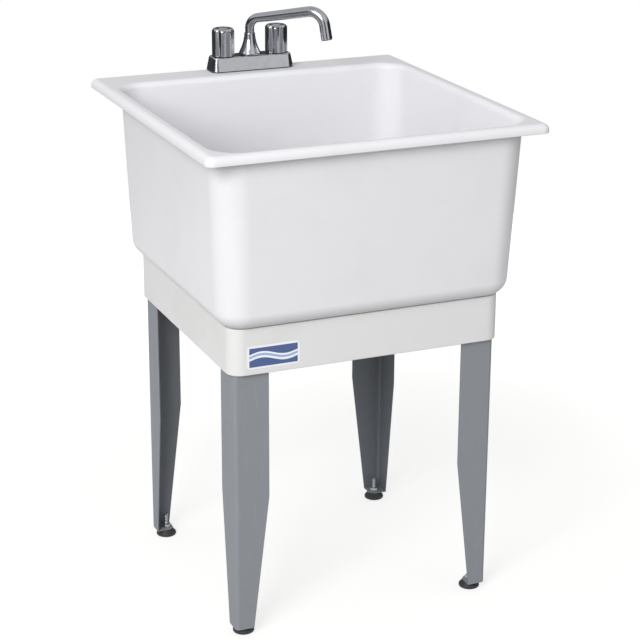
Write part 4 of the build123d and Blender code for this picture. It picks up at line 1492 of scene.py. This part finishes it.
@dataclass
class Spout:
    """The swing spout: one tube that widens towards its tip, its hub nut and aerator."""

    y: float = 277.0
    turn: float = -45.0
    root: float = 850.0
    bend_height: float = 929.0
    run_rise: float = 25.5
    bend_reach: float = 139.6
    tip_reach: float = 148.5
    tip_bottom: float = 904.0
    riser_bend: float = 20.0
    tip_bend: float = 27.0
    root_radius: float = 7.5
    tip_radius: float = 9.97
    nut_radius: float = 19.5
    nut_top_radius: float = 9.5
    nut_bore: float = 12.3
    nut_bottom: float = 866.3
    nut_top: float = 904.3
    nut_skirt: float = 3.0
    nut_hollow: float = 2.0
    nut_clearance: float = 0.6
    knurl: Ribs = Ribs(count=44, radius=9.3, rib=0.3, height=1.3, bottom=0.35)
    aerator: tuple[tuple[float, float, float], ...] = (
        (8.3, -9.0, 0), (8.3, 0.1, 0), (9.4, 0.1, 0.2), (9.4, 2.0, 0.4),
        (7.6, 2.0, 0.4), (7.2, -1.0, 0), (6.4, -1.0, 0), (6.4, -9.0, 0),
    )

    def path(self) -> list[Point]:
        """Gives the tube's centre line, as reach and height."""
        corners = [
            (0, self.root, 0),
            (0, self.bend_height, self.riser_bend),
            (self.bend_reach, self.bend_height + self.run_rise, self.tip_bend),
            (self.tip_reach, self.tip_bottom, 0),
        ]
        return rounded_path(corners, 24)

    def place(self, reach: float, height: float) -> Vector:
        """Turns a reach and a height into a point."""
        turn = math.radians(self.turn)
        return Vector((reach * math.cos(turn), self.y + reach * math.sin(turn), height))

    def build_tube(self) -> None:
        """Makes the tube."""
        base = bmesh.new()
        dots = [base.verts.new(self.place(reach, height)) for reach, height in self.path()]
        for pair in zip(dots, dots[1:]):
            base.edges.new(pair)
        skin = tube_rule(CHROME).bake(base=base, Root=self.root_radius, Tip=self.tip_radius)
        add_piece("spout_tube", skin, CHROME, "swing_spout", "spout", bevel=0.5)
        refinish(RUBBER, "spout_orings")
        refinish(STAINLESS, "aerator_screen")

    def build_aerator(self) -> None:
        """Makes the aerator's ring with its fine knurl, at the tip."""
        ring = lathe(rounded_path(self.aerator, 3, closed=True), closed=True)
        knurl = self.knurl.stood(round_rule(CHROME), Matrix())
        tip = self.place(self.tip_reach, self.tip_bottom)
        way = tip - self.place(*self.path()[-2])
        place = Matrix.Translation(tip) @ way.to_track_quat("Z", "Y").to_matrix().to_4x4()
        skin = moved(joined(ring, knurl), place)
        add_piece("aerator_ring", skin, CHROME, "swing_spout", "aerator")

    def build_nut(self) -> None:
        """Makes the bell-shaped hub nut."""
        foot, crown = self.nut_bottom, self.nut_top
        low, high = foot + self.nut_skirt, crown - 1.0
        wide, narrow = self.nut_radius, self.nut_top_radius
        length = math.hypot(wide - narrow, high - low)
        flank = []
        for share in (step / 12 for step in range(1, 12)):
            dip = 4 * self.nut_hollow * share * (1 - share)
            radius = wide + (narrow - wide) * share - dip * (high - low) / length
            flank.append((radius, low + (high - low) * share - dip * (wide - narrow) / length))
        bore = self.root_radius + self.nut_clearance
        profile = [
            (self.nut_bore, foot + 6),
            (self.nut_bore, foot),
            (wide - 0.5, foot),
            (wide, foot + 0.5),
            (wide, low - 0.4),
            (wide - 0.25, low + 0.1),
            *flank,
            (narrow, high - 0.1),
            (narrow, crown - 0.3),
            (narrow - 0.35, crown),
            (bore, crown),
            (bore, crown - 8),
        ]
        skin = lathe(profile, (0.0, self.y), 96, closed=True)
        add_piece("spout_hub_nut", skin, CHROME, "sink", "spout_nut", crease=50.0)

    def build(self) -> None:
        """Makes the spout's pieces."""
        self.build_tube()
        self.build_aerator()
        self.build_nut()


@dataclass
class Faucet:
    """The chrome cover on the rear ledge, with what shows under the ledge."""

    cover: Outline = Outline(78.5, 254.0, 300.0, 13.0)
    cover_bottom: float = 841.5
    cover_top: float = 866.0
    cover_slope: float = 5.0
    edge_radius: float = 3.4
    y: float = 277.0
    thread: Thread = Thread(radius=10.65, depth=0.75, pitch=1.81, bottom=786.8, length=36.4)
    handles: tuple[Handle, ...] = (
        Handle("hot", -50.8, "#A5262A"),
        Handle("cold", 50.8, "#234F96"),
    )
    spout: Spout = field(default_factory=Spout)

    def build_cover(self) -> None:
        """Makes the sloped cover with its softened edges."""
        low, high, slope = self.cover_bottom, self.cover_top, self.cover_slope
        path = [(2.0, low, 0), (0, low, 0.6), (slope, high, self.edge_radius), (slope + 5, high, 0)]
        skin = loft(rings_along(lambda _: self.cover, path, 6), capped=True)
        add_piece("faucet_cover_plate", skin, CHROME, "sink", "faucet_cover", crease=50.0)

    def build_underside(self) -> None:
        """Makes the shanks' threads and the nuts under the ledge."""
        thread = thread_rule(BRASS)
        for handle in self.handles:
            skin = self.thread.wound(thread, (handle.x, self.y))
            add_piece(f"{handle.prefix}_shank_thread", skin, BRASS, "sink")
        nuts = solid_copy("shank_nuts")
        add_piece("shank_lock_nuts", nuts, BLACK_NYLON, "sink", "shank_nuts", bevel=0.9)
        refinish(ZINC, "shank_washers")
        refinish(BRASS, "faucet_body")
        refinish(RUBBER, "deck_gasket")

    def build(self) -> None:
        """Makes the whole faucet."""
        self.build_cover()
        self.build_underside()
        for handle in self.handles:
            handle.build()
        self.spout.build()


# ---------------------------------------------------------------- studio


@dataclass
class Studio:
    """Pale floor, soft studio light and the camera that the photograph was taken from.

    Places are in metres. Bands, ceiling and ambient are brightness along a turn round the
    object or from straight down to straight up, both counted from 0 to 1.
    """

    azimuth: float = -23.194
    elevation: float = 19.409
    roll: float = 0.2734
    distance: float = 3.3263
    target: tuple[float, float, float] = (0.02078, 0.0, 0.44675)
    lens: float = 107.175
    sensor: float = 36.0
    clip_end: float = 200.0
    floor_colour: str = "#A0A09E"
    floor_radius: float = 2.3
    floor_drop: float = 0.0005
    floor_lift: float = 0.70
    fade_from: float = 0.5
    fade_to: float = 1.9
    key_place: tuple[float, float, float] = (-2.86, -2.77, 2.7)
    key_aim: tuple[float, float, float] = (0.0, 0.0, 0.55)
    key_size: float = 2.0
    key_watts: float = 140.0
    bands: tuple[Point, ...] = (
        (0.0, 0.06), (0.05, 0.08), (0.09, 0.95), (0.15, 0.95), (0.18, 0.12), (0.22, 0.08),
        (0.26, 0.9), (0.335, 1.0), (0.36, 0.05), (0.55, 0.03), (0.72, 0.08), (1.0, 0.06),
    )
    ceiling: tuple[Point, ...] = ((0.0, 0.0), (0.62, 0.0), (0.74, 0.85), (1.0, 0.6))
    ceiling_tint: tuple[float, float, float, float] = (0.95, 0.96, 1.0, 1.0)
    ambient: tuple[Point, ...] = (
        (0.0, 0.05), (0.45, 0.25), (0.5, 1.0), (0.6, 1.0), (0.75, 0.64), (1.0, 0.46)
    )

    def build_camera(self) -> None:
        """Makes the camera."""
        data = bpy.data.cameras.new("camera")
        data.sensor_width, data.lens, data.clip_end = self.sensor, self.lens, self.clip_end
        around, up, roll = map(math.radians, (self.azimuth, self.elevation, self.roll))
        back = Vector(
            (math.sin(around) * math.cos(up), -math.cos(around) * math.cos(up), math.sin(up))
        )
        level = Vector((0, 0, 1)).cross(back).normalized()
        upright = back.cross(level)
        right = level * math.cos(roll) + upright * math.sin(roll)
        top = upright * math.cos(roll) - level * math.sin(roll)
        turn = Matrix((right, top, back)).transposed().to_4x4()
        camera = place_in_scene("camera", data)
        camera.matrix_world = Matrix.Translation(Vector(self.target) + back * self.distance) @ turn
        bpy.context.scene.camera = camera

    def any_ray(self, tree: Tree, *kinds: str) -> tuple[Socket, Node | Socket]:
        """Adds a switch that is 1 for some kinds of ray, and 0 for all others.

        Args:
            tree: The nodes it goes in.
            kinds: The kinds of ray that count.

        Returns:
            Whether a ray is a glossy one, and the switch.
        """
        path = add_node(tree, "ShaderNodeLightPath").outputs
        switch = path[f"Is {kinds[0]} Ray"]
        for kind in kinds[1:]:
            pair = {0: switch, 1: path[f"Is {kind} Ray"]}
            switch = add_node(tree, "ShaderNodeMath", pair, operation="MAXIMUM")
        return path["Is Glossy Ray"], switch

    def build_floor(self) -> None:
        """Makes the floor: white where seen, apart from the object's soft shadow."""
        skin = bmesh.new()
        bmesh.ops.create_circle(skin, cap_ends=True, segments=96, radius=self.floor_radius)
        disc = place_in_scene("floor", as_mesh("floor", skin))
        disc.location.z = -self.floor_drop
        paint = bpy.data.materials.new("white studio floor")
        paint.use_nodes = True
        tree = paint.node_tree
        tree.nodes.clear()
        _, seen = self.any_ray(tree, "Camera", "Glossy", "Transmission")
        place = add_node(tree, "ShaderNodeTexCoord").outputs["Object"]
        away = add_node(tree, "ShaderNodeVectorMath", {0: place}, operation="LENGTH")
        fade = {
            "Value": away,
            "From Min": self.fade_from,
            "From Max": self.fade_to,
            "To Min": self.floor_lift,
            "To Max": 1.0,
        }
        fade = add_node(tree, "ShaderNodeMapRange", fade, interpolation_type="SMOOTHSTEP")
        lift = add_node(tree, "ShaderNodeMath", {0: seen, 1: fade}, operation="MULTIPLY")
        matt = add_node(tree, "ShaderNodeBsdfDiffuse", {"Color": linear(self.floor_colour)})
        glow = add_node(tree, "ShaderNodeEmission", {"Strength": lift})
        both = add_node(tree, "ShaderNodeAddShader", {0: matt, 1: glow})
        add_node(tree, "ShaderNodeOutputMaterial", {"Surface": both})
        disc.data.materials.append(paint)

    def build_world(self) -> None:
        """Makes the surroundings: white where seen, banded in shiny metal, dim as plain light."""
        world = bpy.data.worlds.new("studio")
        bpy.context.scene.world = world
        world.use_nodes = True
        tree = world.node_tree
        tree.nodes.clear()
        glossy, seen = self.any_ray(tree, "Camera", "Transmission")
        way = add_node(tree, "ShaderNodeTexCoord").outputs["Generated"]
        axes = add_node(tree, "ShaderNodeSeparateXYZ", {0: way}).outputs
        around = add_node(tree, "ShaderNodeMath", {0: axes["Y"], 1: axes["X"]}, operation="ARCTAN2")
        turn = {"Value": around, "From Min": -math.pi, "From Max": math.pi}
        turn = add_node(tree, "ShaderNodeMapRange", turn)
        rise = {"Value": axes["Z"], "From Min": -1.0, "From Max": 1.0}
        rise = add_node(tree, "ShaderNodeMapRange", rise)
        bands, ceiling, ambient = (
            add_ramp(tree, value, [(spot, (level, level, level, 1.0)) for spot, level in stops])
            for value, stops in ((turn, self.bands), (rise, self.ceiling), (rise, self.ambient))
        )
        shown = bands
        for factor, below, above in (
            (ceiling, None, self.ceiling_tint),
            (glossy, ambient, None),
            (seen, None, (1.0, 1.0, 1.0, 1.0)),
        ):
            mixed = {"Factor": factor, 6: below or shown, 7: above or shown}
            shown = add_node(tree, "ShaderNodeMix", mixed, data_type="RGBA")
        light = add_node(tree, "ShaderNodeBackground", {"Color": shown})
        add_node(tree, "ShaderNodeOutputWorld", {"Surface": light})

    def build_lamp(self) -> None:
        """Hangs one soft box, aimed at the object."""
        data = bpy.data.lights.new("key box", "AREA")
        data.shape, data.energy = "RECTANGLE", self.key_watts
        data.size = data.size_y = self.key_size
        lamp = place_in_scene("key box", data)
        lamp.location = self.key_place
        aim = Vector(self.key_aim) - Vector(self.key_place)
        lamp.rotation_mode = "QUATERNION"
        lamp.rotation_quaternion = aim.to_track_quat("-Z", "Y")

    def build(self) -> None:
        """Sets up the view, the floor, the surroundings and the soft box."""
        bpy.context.scene.view_settings.view_transform = "Standard"
        self.build_camera()
        self.build_floor()
        self.build_world()
        self.build_lamp()


# ---------------------------------------------------------------- everything


def main() -> None:
    """Builds the sink's sub-assemblies in order, then the studio round them."""
    logging.basicConfig(level=logging.INFO, format="%(name)s: %(message)s")
    for assembly in (Tub(), Skirt(), Legs(), Drain(), Faucet(), Studio()):
        LOG.info("building %s", type(assembly).__name__)
        assembly.build()


if __name__ == "__main__":
    main()
